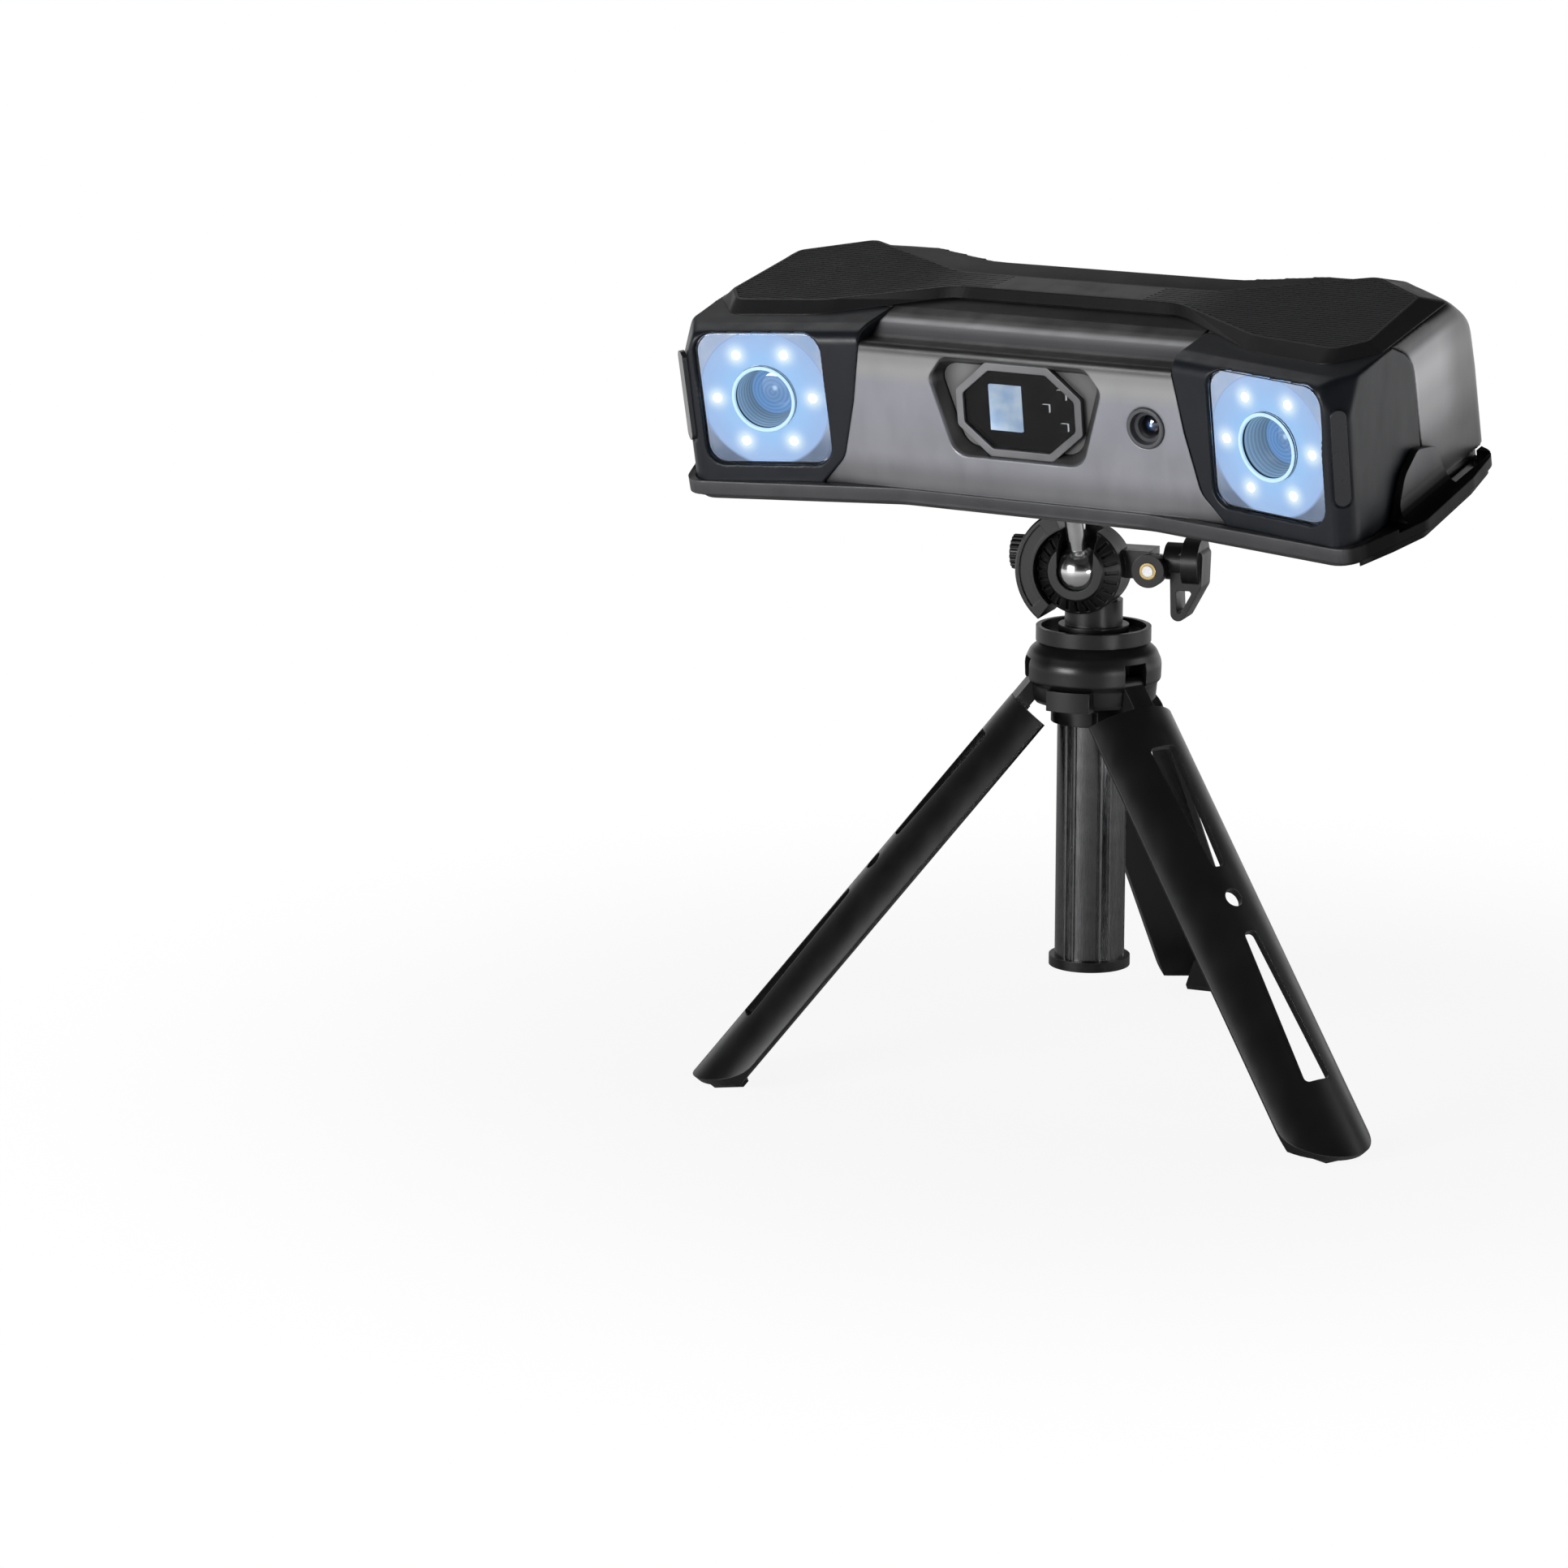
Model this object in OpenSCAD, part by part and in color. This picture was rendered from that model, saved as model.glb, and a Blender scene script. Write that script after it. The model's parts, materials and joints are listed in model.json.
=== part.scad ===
// Handheld three-d scanner with two lit camera windows, on a ball head and a folding mini tripod.
// Millimetres, +Z up, scanner length along X, lens side towards -Y, feet on the plane Z = 0.

/* [Scanner stance] */
// Forward pitch of the scanner at rest, in degrees
scan_pitch = 14.5; // [0:0.5:20]
// Height of the ball centre over the floor
ball_z = 208; // [206:0.5:212]
// Ball centre in front of the tripod axis
ball_front = 10.5; // [9:0.5:12]
// Ball centre to the underside of the scanner, along the stem
stem_reach = 35.2; // [33:0.2:38]

/* [Scanner body] */
// Half width of the fascia at its top
fascia_half = 70; // [68:0.5:72]
// Wall of the moulded shells
shell_t = 3; // [2.4:0.1:3.4]
// Depth of the underside below the front bottom edge
tray_drop = 4; // [3.4:0.1:5]
// Thickness of the tray floor
tray_t = 3; // [2.4:0.1:3.2]
// Mounting axis to the fascia's bottom edge
fascia_y = 36.4; // [34:0.2:38]
// Backward lean of the fascia, in degrees
fascia_lean = 6.2; // [5:0.1:7]
// Thickness of the fascia
fascia_t = 5; // [4:0.2:5.6]
// Top edge of the fascia up to the seam under the top cover
visor_h = 7.35; // [6.8:0.05:8]
// Height of the top cover over its seam
cover_h = 4.1; // [3.6:0.1:4.6]
// Height of the lip under the camera panels
lip_h = 4.6; // [4:0.1:5.2]
// Lip in front of the camera panels' corners
lip_out = 3; // [2.6:0.1:3.4]
// Mounting axis to the rear face in the middle
rear_mid = 53; // [50:0.5:57]
// Mounting axis to the rear face at the ends
rear_end = 74; // [70:0.5:78]
// Mounting axis to the seam between camera panel and rear shell
side_seam = 13; // [12:0.5:14]
// Turn of the slanted corner over each camera panel, in degrees
slant_turn = 36; // [32:1:40]
// Steepness of that slanted corner, in degrees
slant_steep = 66; // [63:0.5:69]
// Outer reach of a strap loop past the end face
loop_reach = 13; // [12:0.5:15]
// Mounting axis to the back of a strap loop's slot
loop_back = 55; // [50:0.5:58]
// Width of the strap slot
loop_slot = 6.5; // [5:0.25:7]
// Thickness of a strap bar
loop_t = 7; // [6:0.5:8]
// Height of the end tabs over the front bottom edge
tab_h = 24; // [21:0.5:27]
// Spacing of the grip ribs
rib_pitch = 2; // [1.8:0.1:2.6]
// Height of the grip ribs
rib_h = 0.6; // [0.4:0.1:0.8]
// Depth of the grip's pocket in the cover
grip_pocket = 1.4; // [1:0.1:1.8]

/* [Camera windows] */
// Side of a square window
window_w = 54; // [50:0.2:57]
// Corner radius of a window
window_r = 8; // [6:0.5:9]
// Thickness of a window
window_t = 1.6; // [1.2:0.1:2]
// Front bottom edge up to the windows
window_low = 10.8; // [9.6:0.1:12]
// Rim of a camera panel over its window
rim_top = 1.7; // [1.5:0.1:2]
// Rim of a camera panel beside the fascia
rim_in = 16; // [14.4:0.2:18]
// Rim of a camera panel beside the end face
rim_out = 9; // [8.2:0.1:10]
// Camera panels' lamp planes in front of the fascia's bottom edge
panel_step = 0.35; // [0.3:0.01:0.4]
// Inward toe of each panel, in degrees
panel_toe = 11.3; // [10.5:0.1:12]
// Backward lean of each panel, in degrees
panel_lean = 3.3; // [2.5:0.1:4]
// Radius of a panel's outer corner
panel_r = 8; // [7:0.1:8.4]
// Window edge to the circle of lamps
lamp_in = 6.6; // [6:0.1:7]
// Lamps round each lens
lamp_count = 6; // [4:1:8]
// Radius of a lamp
lamp_r = 1.8; // [1.4:0.1:2]
// Radius of a lens barrel
barrel_r = 13.5; // [12.5:0.1:14]
// Length of a lens barrel behind the lamp plane
barrel_l = 20; // [18:0.5:22]
// Radius of a camera lens
lens_r = 9.6; // [8.6:0.1:10.4]
// Depth of a camera lens behind the lamp plane
lens_deep = 8; // [6:0.1:9]
// Length of an end light strip
strip_l = 37; // [33:0.5:40]
// Width of an end light strip
strip_w = 6; // [5.4:0.1:6.4]
// Turn of an end light strip round the panel's corner, in degrees
strip_turn = 50; // [44:1:54]

/* [Projector and colour camera] */
// Top edge of the fascia in to the recess
recess_side = 31; // [29:0.5:33]
// Taper of the recess towards its bottom
recess_taper = 10; // [9:0.25:11]
// Lower edge of the recess along the fascia
recess_z0 = 20; // [18:0.25:21.5]
// Slant of the recess walls
recess_draft = 3.6; // [3:0.1:4]
// Recess edge in to the octagonal frame
oct_side = 11; // [10:0.25:12]
// Gap over and under the octagonal frame
oct_gap = 1.15; // [1:0.05:1.4]
// Width of the octagonal frame's border
oct_rim = 3; // [2.4:0.1:3.4]
// Side of the projector's glass prism
prism_w = 14; // [12.5:0.1:15]
// Depth of the projector behind its frame
projector_l = 31; // [28:0.5:33]
// Top edge of the fascia in to the colour camera
eye_in = 12.4; // [11:0.1:13.4]
// Colour camera along the fascia
eye_z = 38.5; // [35:0.5:42]
// Radius of the colour camera's ring
eye_r = 8; // [7:0.1:8.4]

/* [Ball head] */
// Turn of the head against the scanner at rest, in degrees
head_turn = 14; // [8:1:18]
// Radius of the ball
ball_r = 10; // [9.6:0.1:10.2]
// Radius of the stem's neck
neck_r = 4; // [3.4:0.1:4.2]
// Radius of the platform
platform_r = 17; // [15:0.5:18]
// Thickness of the platform
platform_t = 5; // [4:0.25:6]
// Thickness of the rubber pad
pad_t = 1; // [0.8:0.1:1.6]
// Radius of the socket barrel
head_r = 17.5; // [17:0.1:18.5]
// Length of the socket barrel behind the ball
head_back = 19; // [18:0.5:21]
// Width of the stem notch
notch_w = 15; // [13:0.5:16]
// Radius of the opening in front of the ball
mouth_r = 7.6; // [7:0.1:8]
// Radius of the ring's flat face
face_r = 11; // [10.5:0.1:12]
// Fins round the ring
fin_count = 24; // [16:1:28]
// Thickness of the clamp arm
arm_t = 7; // [6:0.25:7.5]
// Clamp bolt behind the ball
bolt_y = 14; // [13.5:0.1:14.5]
// Clamp bolt above the ball centre
bolt_z = 3; // [2.5:0.1:3.5]
// Radius of the clamp bolt
bolt_r = 2.5; // [2.2:0.1:2.6]
// Radius of the knurled knob
knob_r = 7; // [6:0.25:7.5]
// Length of the knurled knob
knob_l = 9; // [8:0.25:10]
// Flutes on the knob
knob_flutes = 20; // [14:1:24]
// Cross pin beside the ball
pin_x = 27; // [26.5:0.1:28]
// Radius of the cross pin's boss
boss_r = 6.6; // [6.2:0.1:7]
// Inner end of the lever beside the ball
lever_x = 31.4; // [31.2:0.1:33]
// Radius of the lever's hub
lever_hub = 7.4; // [6.6:0.1:7.8]
// Reach of the lever's tip below the bolt
lever_l = 23.5; // [21:0.5:25]

/* [Tripod] */
// Radius of the column
column_r = 14; // [13.5:0.1:14.3]
// Wall of the column
column_t = 2.5; // [2:0.1:3]
// Lower end of the column over the floor
column_z = 45.6; // [44:0.5:55]
// Radius of the column's end cap
cap_r = 16.3; // [15.6:0.1:16.6]
// Radius of the top dish
dish_r = 22.9; // [22:0.1:24]
// Height of the dish rim over the floor
dish_z = 184; // [182.5:0.1:185]
// Height of the dish
dish_h = 5.8; // [5:0.1:6.4]
// Thickness of the dish floor
dish_floor = 2.5; // [2:0.1:3]
// Largest radius of the hub
hub_r = 27.2; // [26.8:0.1:28]
// Height of the hub
hub_h = 24; // [23:0.25:25]
// Radius of the collar under the hub
collar_r = 16.6; // [16.2:0.1:17]
// Height of the collar
collar_h = 8.6; // [7:0.2:9.5]
// Direction of the first leg, in degrees
leg_turn = 100; // [96:1:106]
// Leg hinges from the tripod axis
hinge_r = 22; // [21.6:0.1:22.3]
// Leg hinges under the dish
hinge_drop = 15.2; // [14.4:0.1:15.8]
// Spread of each leg from upright, in degrees
leg_spread = 40; // [36:0.5:41]
// Outer radius of the legs when folded
leg_r = 25.5; // [25.2:0.1:26]
// Wall of the legs
leg_t = 3; // [2.6:0.1:3.2]
// Half angle of each leg's section, in degrees
leg_arc = 57; // [50:0.5:57.5]
// Width of a leg's tongue
tongue_w = 10; // [8:0.25:11]
// Radius of the hinge pins
hinge_pin_r = 1.5; // [1.3:0.1:1.8]
// Leg hinge to the round hole
leg_hole = 98; // [92:0.5:104]
// Radius of the round hole in a leg
leg_hole_r = 3.8; // [3:0.1:4.4]
// Wide end of a leg's long holes
slot_wide = 13; // [11:0.25:14]
// Narrow end of a leg's long holes
slot_narrow = 6; // [5:0.25:7]
// Width of a foot pad
foot_w = 15; // [11:0.5:16]
// Width of the latch
latch_w = 18; // [15:0.5:19]
// Travel of the latch
latch_travel = 2; // [1.5:0.1:2.2]

/* [Fits] */
// Running clearance of pins and slides, on the radius
run_fit = 0.05; // [0.03:0.01:0.08]
// Clearance of seated pieces, a side
seat_fit = 0.1; // [0.05:0.01:0.15]
// Gap between pieces that pass each other
pass_gap = 0.4; // [0.35:0.05:0.5]

/* [Hidden] */
$fn = 96;
tray_top = tray_t - tray_drop;
// Camera panels: lens axes, seam of the cover and end faces follow from the windows and their rims
panel_t = shell_t;
led_x = fascia_half + rim_in + window_w / 2;
led_y = fascia_y + panel_step;
led_z = window_low + window_w / 2;
seam_h = led_z + window_w / 2 + rim_top;
body_h = seam_h + cover_h;
body_half = led_x + window_w / 2 + rim_out;
corner_x = (body_half - led_x + panel_t * sin(panel_toe)) / cos(panel_toe);
arc_x = corner_x - panel_r / tan(45 - panel_toe / 2);
roof_z = (seam_h - led_z) / cos(panel_lean);
lip_y = led_y + corner_x * sin(panel_toe) + panel_t * cos(panel_toe) + lip_out;
lamp_ring = window_w / 2 - lamp_in;
board_w = window_w - 1.6;
strip_out = 0.8;
strip_deep = 1.2;
strip_gap = 0.9;
// Fascia, its recess and what looks out through it
visor_low = seam_h - visor_h;
recess_z1 = visor_low / cos(fascia_lean);
recess_mid = (recess_z0 + recess_z1) / 2;
recess_top = fascia_half - recess_side;
recess_low = recess_top - recess_taper;
oct_w = recess_top - oct_side;
oct_h = (recess_z1 - recess_z0) / 2 - oct_gap;
prism_h = prism_w + 4;
prism_x = -0.29 * oct_w;
eye_x = fascia_half - eye_in;
frame_x = fascia_half + 10;
frame_front = (rim_in + window_w / 2 - 5) * sin(panel_toe) + 3 - led_y;
spine_y = side_seam + 3;
board_y = rear_mid - 20;
// Ball, head and column heights
head_z = ball_z;
dish_low = dish_z - dish_h;
hinge_z = dish_low - hinge_drop;
floor_z = dish_low + dish_floor;
hub_low = dish_low - hub_h;
collar_low = hub_low - collar_h;
column_top = dish_low;
foot_x = ball_front * sin(head_turn);
foot_y = ball_front * cos(head_turn);
foot_low = floor_z - ball_z;
knob_x = head_r + arm_t - 1.6;
boss_y = bolt_y - lever_hub - pass_gap;
// Legs: length that puts the tip a little over the floor
leg_tip_r = leg_r * sin(leg_arc) - 0.4;
leg_l = (hinge_z - 1.8) / cos(leg_spread) + (leg_r - leg_t - hinge_r) * tan(leg_spread);
leg_start = hinge_z - hub_low + 3;
leg_turns = [leg_turn, leg_turn + 120, leg_turn + 240];
latch_turn = leg_turn + 180;
latch_z0 = hub_low - 0.4;
latch_h = 8;
latch_in = hub_r - 4.7;
latch_out = hub_r + 2.3;
spring_r = 2.2;
// Tripod axis lies off the middle of the footprint, whose rearmost and foremost points are leg tips
tip_mid = hinge_r + (leg_l - leg_tip_r) * sin(leg_spread);
function tip_reach(a) = sin(a) * tip_mid
    + sign(sin(a)) * leg_tip_r * norm([sin(a) * sin(leg_spread), cos(a)]);
axis_y = -(tip_reach(leg_turn) + tip_reach(leg_turn + 120)) / 2;
column_travel = collar_low - column_z - 4 - pass_gap;

// Polygon corners [x, y, radius] turned into points with round corners
function unit(v) = v / norm(v);
function turn_of(a) = a > 180 ? a - 360 : a < -180 ? a + 360 : a;
function corner(a, b, c, r, n) =
    let(u = unit(a - b), v = unit(c - b), w = acos(min(1, max(-1, u * v))))
    r <= 0 || w > 179.5 ? [b] :
    let(m = b + unit(u + v) * r / sin(w / 2), s = b + u * r / tan(w / 2) - m, e = b + v * r / tan(w / 2) - m,
        a0 = atan2(s.y, s.x), da = turn_of(atan2(e.y, e.x) - a0))
    [for (i = [0:n]) m + r * [cos(a0 + da * i / n), sin(a0 + da * i / n)]];
function rounded(p, n = 6) = [for (i = [0:len(p) - 1])
    let(k = len(p), a = p[(i + k - 1) % k], b = p[i], c = p[(i + 1) % k])
    each corner([a.x, a.y], [b.x, b.y], [c.x, c.y], b[2], n)];
// A half outline at x > 0 joined to its mirror image
function flat(p) = [for (q = p) [q.x, q.y]];
function both(p) = concat(p, [for (i = [len(p) - 1:-1:0]) [-p[i].x, p[i].y, p[i][2]]]);

module slab(p, z0, z1) {
    translate([0, 0, z0]) linear_extrude(z1 - z0) polygon(p);
}
// Outline in Y and Z, drawn out along X
module across(p, x0, x1) {
    translate([x0, 0, 0]) rotate([90, 0, 90]) linear_extrude(x1 - x0) polygon(p);
}
// Outline in X and Z, drawn out along Y
module along(p, y0, y1) {
    translate([0, y1, 0]) rotate([90, 0, 0]) linear_extrude(y1 - y0) polygon(p);
}
module rod_x(r, x0, x1) {
    translate([x0, 0, 0]) rotate([0, 90, 0]) cylinder(r = r, h = x1 - x0);
}
module rod_y(r, y0, y1) {
    translate([0, y1, 0]) rotate([90, 0, 0]) cylinder(r = r, h = y1 - y0);
}
module box(x0, x1, y0, y1, z0, z1) {
    translate([x0, y0, z0]) cube([x1 - x0, y1 - y0, z1 - z0]);
}
// Pill or rounded square standing in X and Z, drawn out along Y
module round_plate(w, h, r, y0, y1) {
    for (sx = [-1, 1], sz = [-1, 1]) translate([sx * (w / 2 - r), 0, sz * (h / 2 - r)]) rod_y(r, y0, y1);
    box(-w / 2 + r, w / 2 - r, y0, y1, -h / 2, h / 2);
    if (h > 2 * r) box(-w / 2, w / 2, y0, y1, -h / 2 + r, h / 2 - r);
}

// Frames
module on_stand() {
    translate([0, axis_y, 0]) children();
}
module on_scanner() {
    on_stand() translate([0, -ball_front, ball_z]) rotate([scan_pitch, 0, 0])
        translate([0, 0, stem_reach + tray_drop]) children();
}
module on_panel(side) {
    mirror([side < 0 ? 1 : 0, 0, 0]) translate([led_x, -led_y, led_z])
        rotate([0, 0, -panel_toe]) rotate([-panel_lean, 0, 0]) children();
}
module on_fascia() {
    translate([0, -fascia_y, 0]) rotate([-fascia_lean, 0, 0]) children();
}
module on_head() {
    on_stand() translate([0, -ball_front, ball_z]) rotate([0, 0, head_turn]) children();
}
module on_leg(a) {
    on_stand() rotate([0, 0, a]) translate([hinge_r, 0, hinge_z]) rotate([0, -leg_spread, 0])
        translate([-hinge_r, 0, 0]) children();
}

// Scanner outlines
function fascia_edge(c) = [[fascia_half + c, recess_z1 + 0.5, 0], [fascia_half + 4 + c, 38, 0],
    [fascia_half + 10 + c, 15, 12], [fascia_half + 20 + c, lip_h, 0]];
function tray_plan(d) = rounded(both([[fascia_half - 14, -fascia_y + d, 40], [body_half - d, -lip_y + d, 9],
    [body_half + 8 - d, -lip_y + 22, 10], [body_half + loop_reach - d, -lip_y + 38, 10],
    [body_half + loop_reach - 1.5 - d, loop_back - 25, 20], [body_half + loop_reach - 5 - d, loop_back, 12],
    [body_half - 14 - d, loop_back + 13 - d, 12], [fascia_half + 30, loop_back + 14 - d, 12],
    [fascia_half - 14, rear_mid - d, 30]]));
function rear_plan(d) = rounded(both([[body_half - d, -60, 0], [body_half - d, rear_end - 9 - d / 2, 9],
    [body_half - 25, rear_end - d, 14], [fascia_half - 14, rear_mid - d, 40]]));
function rear_side(d) = rounded([[-60, tray_top - 20, 0], [rear_end - 8, tray_top - 20, 0],
    [rear_end - 8, 3 + d, 0], [rear_end - d, 14, 8], [rear_end - d, seam_h - 12.5, 10],
    [rear_end - 9 - d, seam_h - d, 6], [-60, seam_h - d, 0]]);
// What lies in front of the curved seam between a camera panel and the rear shell
function seam_side(c) = rounded([[-90, tray_top - 20, 0], [side_seam - c, tray_top - 20, 0],
    [side_seam - c, seam_h - 9.5, 16], [side_seam - 17 - c, seam_h + 1, 0], [-90, seam_h + 1, 0]]);
cover_low = both([[fascia_half - 18, -fascia_y + 48.4, 25], [fascia_half + 27, -fascia_y + 19.4, 25],
    [body_half - 16, -fascia_y + 12.4, 8], [body_half - 1, -fascia_y + 28.4, 5], [body_half - 1, rear_end - 28, 5],
    [body_half - 30, rear_end - 9, 8], [fascia_half - 10, rear_mid - 19, 30]]);
cover_top = both([[fascia_half - 20, -fascia_y + 50.7, 25], [fascia_half + 25.6, -fascia_y + 25.6, 25],
    [body_half - 15.3, -fascia_y + 18.8, 6], [body_half - 6.2, -fascia_y + 29.4, 4],
    [body_half - 8.8, rear_end - 35.2, 4], [body_half - 35, rear_end - 18.1, 6],
    [fascia_half - 12, rear_mid - 23.5, 30]]);
grip_plan = both([[fascia_half - 20, -fascia_y + 51.7, 25], [fascia_half + 25.8, -fascia_y + 26.8, 25],
    [body_half - 15.8, -fascia_y + 20.1, 5], [body_half - 7.5, -fascia_y + 30, 3],
    [body_half - 10, rear_end - 35.8, 3], [body_half - 35.2, rear_end - 19.5, 5],
    [fascia_half - 12, rear_mid - 24.5, 30]]);
wing_mid = [(fascia_half + body_half) / 2 - 9.5, 20];
plate_plan = [[34 - fascia_half, 10], [fascia_half - 38, 10], [fascia_half - 30, 40], [42 - fascia_half, 40]];

// Plan of a camera panel in its own frame, inset by d, under a given roof
module panel_form(d, roof) {
    far = 75;
    cx = corner_x - d * (1 + sin(panel_toe)) / cos(panel_toe);
    intersection() {
        slab(rounded([[-60, d - panel_t, 0], [cx, d - panel_t, panel_r - d],
            [cx - far * sin(panel_toe), d - panel_t + far * cos(panel_toe), 0], [-60, far, 0]]), -60, 60);
        across(rounded(roof), -70, 70);
    }
}
function roof_line(d) = [[d - panel_t, -50, 0], [75, -50, 0], [75, roof_z - d + 75 * tan(panel_lean), 0],
    [6, roof_z - d + 6 * tan(panel_lean), 0], [d - panel_t, roof_z - d - 1.6, 5]];
ceiling = [[0, -50, 0], [75, -50, 0], [75, board_w / 2 + seat_fit + 75 * tan(panel_lean), 0],
    [0, board_w / 2 + seat_fit, 0]];
// The slanted corner over the front end of each camera panel, grown by d
module front_slant(d) {
    translate([body_half, 8.4 - fascia_y, seam_h]) rotate([0, 0, -slant_turn]) rotate([0, slant_steep, 0])
        translate([-30, -60, -d]) cube([90, 120, 60]);
}
// The slanted corner over the rear end of the rear shell, grown by d
module rear_slant(d) {
    translate([body_half - 0.5, rear_end - 26.5, seam_h]) rotate([0, 0, 57]) rotate([0, 45, 0])
        translate([-30, -60, -d]) cube([90, 120, 60]);
}
module on_strip() {
    translate([arc_x, panel_r - panel_t, 1]) rotate([0, 0, strip_turn]) children();
}

module camera_panel(side) {
    color([0.05, 0.05, 0.06]) on_scanner() mirror([side < 0 ? 1 : 0, 0, 0]) difference() {
        intersection() {
            on_panel(1) panel_form(0, roof_line(0));
            across(seam_side(seat_fit), 0, body_half + 5);
            box(0, body_half + 5, -90, 90, tray_top, seam_h);
        }
        difference() {
            on_panel(1) panel_form(panel_t, ceiling);
            front_slant(panel_t / 2);
            box(0, fascia_half + seat_fit + panel_t, -90, 90, visor_low - panel_t, 90);
        }
        front_slant(0);
        on_fascia() along(rounded(concat([[fascia_half + seat_fit, 99, 0]], fascia_edge(seat_fit),
            [[fascia_half + 20 + seat_fit, -9, 0], [-99, -9, 0], [-99, 99, 0]])), -90, 90);
        on_panel(1) {
            round_plate(window_w, window_w, window_r, -9, 1);
            on_strip() round_plate(strip_w + 2 * strip_gap, strip_l + 2 * strip_gap,
                strip_w / 2 + strip_gap - 0.01, -panel_r - 9, strip_deep - panel_r);
        }
    }
}
module window(side) {
    w = window_w - 2 * seat_fit;
    color([0.75, 0.86, 1, 0.5]) on_scanner() on_panel(side) difference() {
        round_plate(w, w, window_r - seat_fit, -window_t, 0);
        rod_y(barrel_r + seat_fit, -9, 9);
    }
}
module lamp_places() {
    for (i = [0:lamp_count - 1]) rotate([0, i * 360 / lamp_count, 0]) translate([lamp_ring, 0, 0]) children();
}
module lamp_board(side) {
    color([0.8, 0.85, 0.9]) on_scanner() on_panel(side) difference() {
        round_plate(board_w, board_w, window_r - 0.8, 0, 2);
        rod_y(barrel_r + seat_fit, -9, 9);
        lamp_places() rod_y(lamp_r + seat_fit, -1, 1.2);
    }
}
module lamps(side) {
    color([0.85, 0.93, 1]) on_scanner() on_panel(side) lamp_places() rod_y(lamp_r, 0, 1.2);
}
module lens_barrel(side) {
    seat = lens_r + seat_fit;
    color([0.1, 0.1, 0.12]) on_scanner() on_panel(side) rotate([90, 0, 0]) rotate_extrude() polygon([
        [lens_r - 1.2, -barrel_l], [barrel_r, -barrel_l], [barrel_r, window_t + 0.3],
        [barrel_r - 0.4, window_t + 0.7], [barrel_r - 1, window_t + 0.7], [barrel_r - 1.3, window_t],
        [barrel_r - 1.5, 1 - lens_deep],
        [seat + 0.6, -lens_deep], [seat, -lens_deep - 0.6], [seat, -lens_deep - 4],
        [lens_r - 1.2, -lens_deep - 4]]);
}
module camera_lens(side) {
    color([0.15, 0.2, 0.3]) on_scanner() on_panel(side) rotate([90, 0, 0]) translate([0, 0, -lens_deep - 4])
        rotate_extrude() polygon(concat([[0, 0], [lens_r, 0]],
        [for (i = [0:8]) [lens_r * (1 - i / 8), 2 + 2.4 * (1 - pow(1 - i / 8, 2))]]));
}
module light_strip(side) {
    color([0.12, 0.12, 0.14]) on_scanner() on_panel(side) on_strip()
        round_plate(strip_w, strip_l, strip_w / 2 - 0.01, -panel_r - strip_out, strip_deep - panel_r);
}

module recess_shape(d, y0, y1) {
    along(rounded(both([[recess_low + d, recess_z0 - d, 8], [recess_top + d, recess_z1 - d - 9, 5],
        [recess_top - 7 + d, recess_z1 + d, 5]])), y0, y1);
}
module octagon(d, y0, y1) {
    translate([0, 0, recess_mid - 0.6]) along(rounded(both([[0.5 * oct_w + d * 0.4, -oct_h - d, 2],
        [oct_w + d, -0.38 * oct_h - d * 0.4, 2], [oct_w + d, 0.38 * oct_h + d * 0.4, 2],
        [0.5 * oct_w + d * 0.4, oct_h + d, 2]]), 3), y0, y1);
}
// Tab on an end of the tray, with a fillet down to the strap loop
module end_tab() {
    x = body_half + pass_gap;
    top = loop_t - tray_drop;
    outline = rounded([[-19, -tray_drop, 0], [-17, 4, 0], [-8, tab_h - 6, 10], [4, tab_h, 6],
        [18, tab_h - 4, 6], [23, 8, 6], [23, -tray_drop, 0]]);
    across(outline, x, x + shell_t);
    intersection() {
        along(rounded([[x + 1, top - 1, 0], [x + 9 + shell_t, top - 1, 0], [x + 9 + shell_t, top, 0],
            [x + shell_t, top, 7], [x + shell_t, top + 9, 0], [x + 1, top + 9, 0]]), -30, 30);
        slab(tray_plan(0.2), -tray_drop, tab_h);
        across(outline, x, x + 40);
    }
}
module strap_loop() {
    intersection() {
        union() {
            slab(tray_plan(1.5), -tray_drop, tray_top);
            slab(tray_plan(0), tray_top - 0.2, loop_t - tray_drop);
        }
        box(body_half + pass_gap, body_half + 40, -lip_y - 5, loop_back + 14, -20, 20);
    }
}
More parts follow.
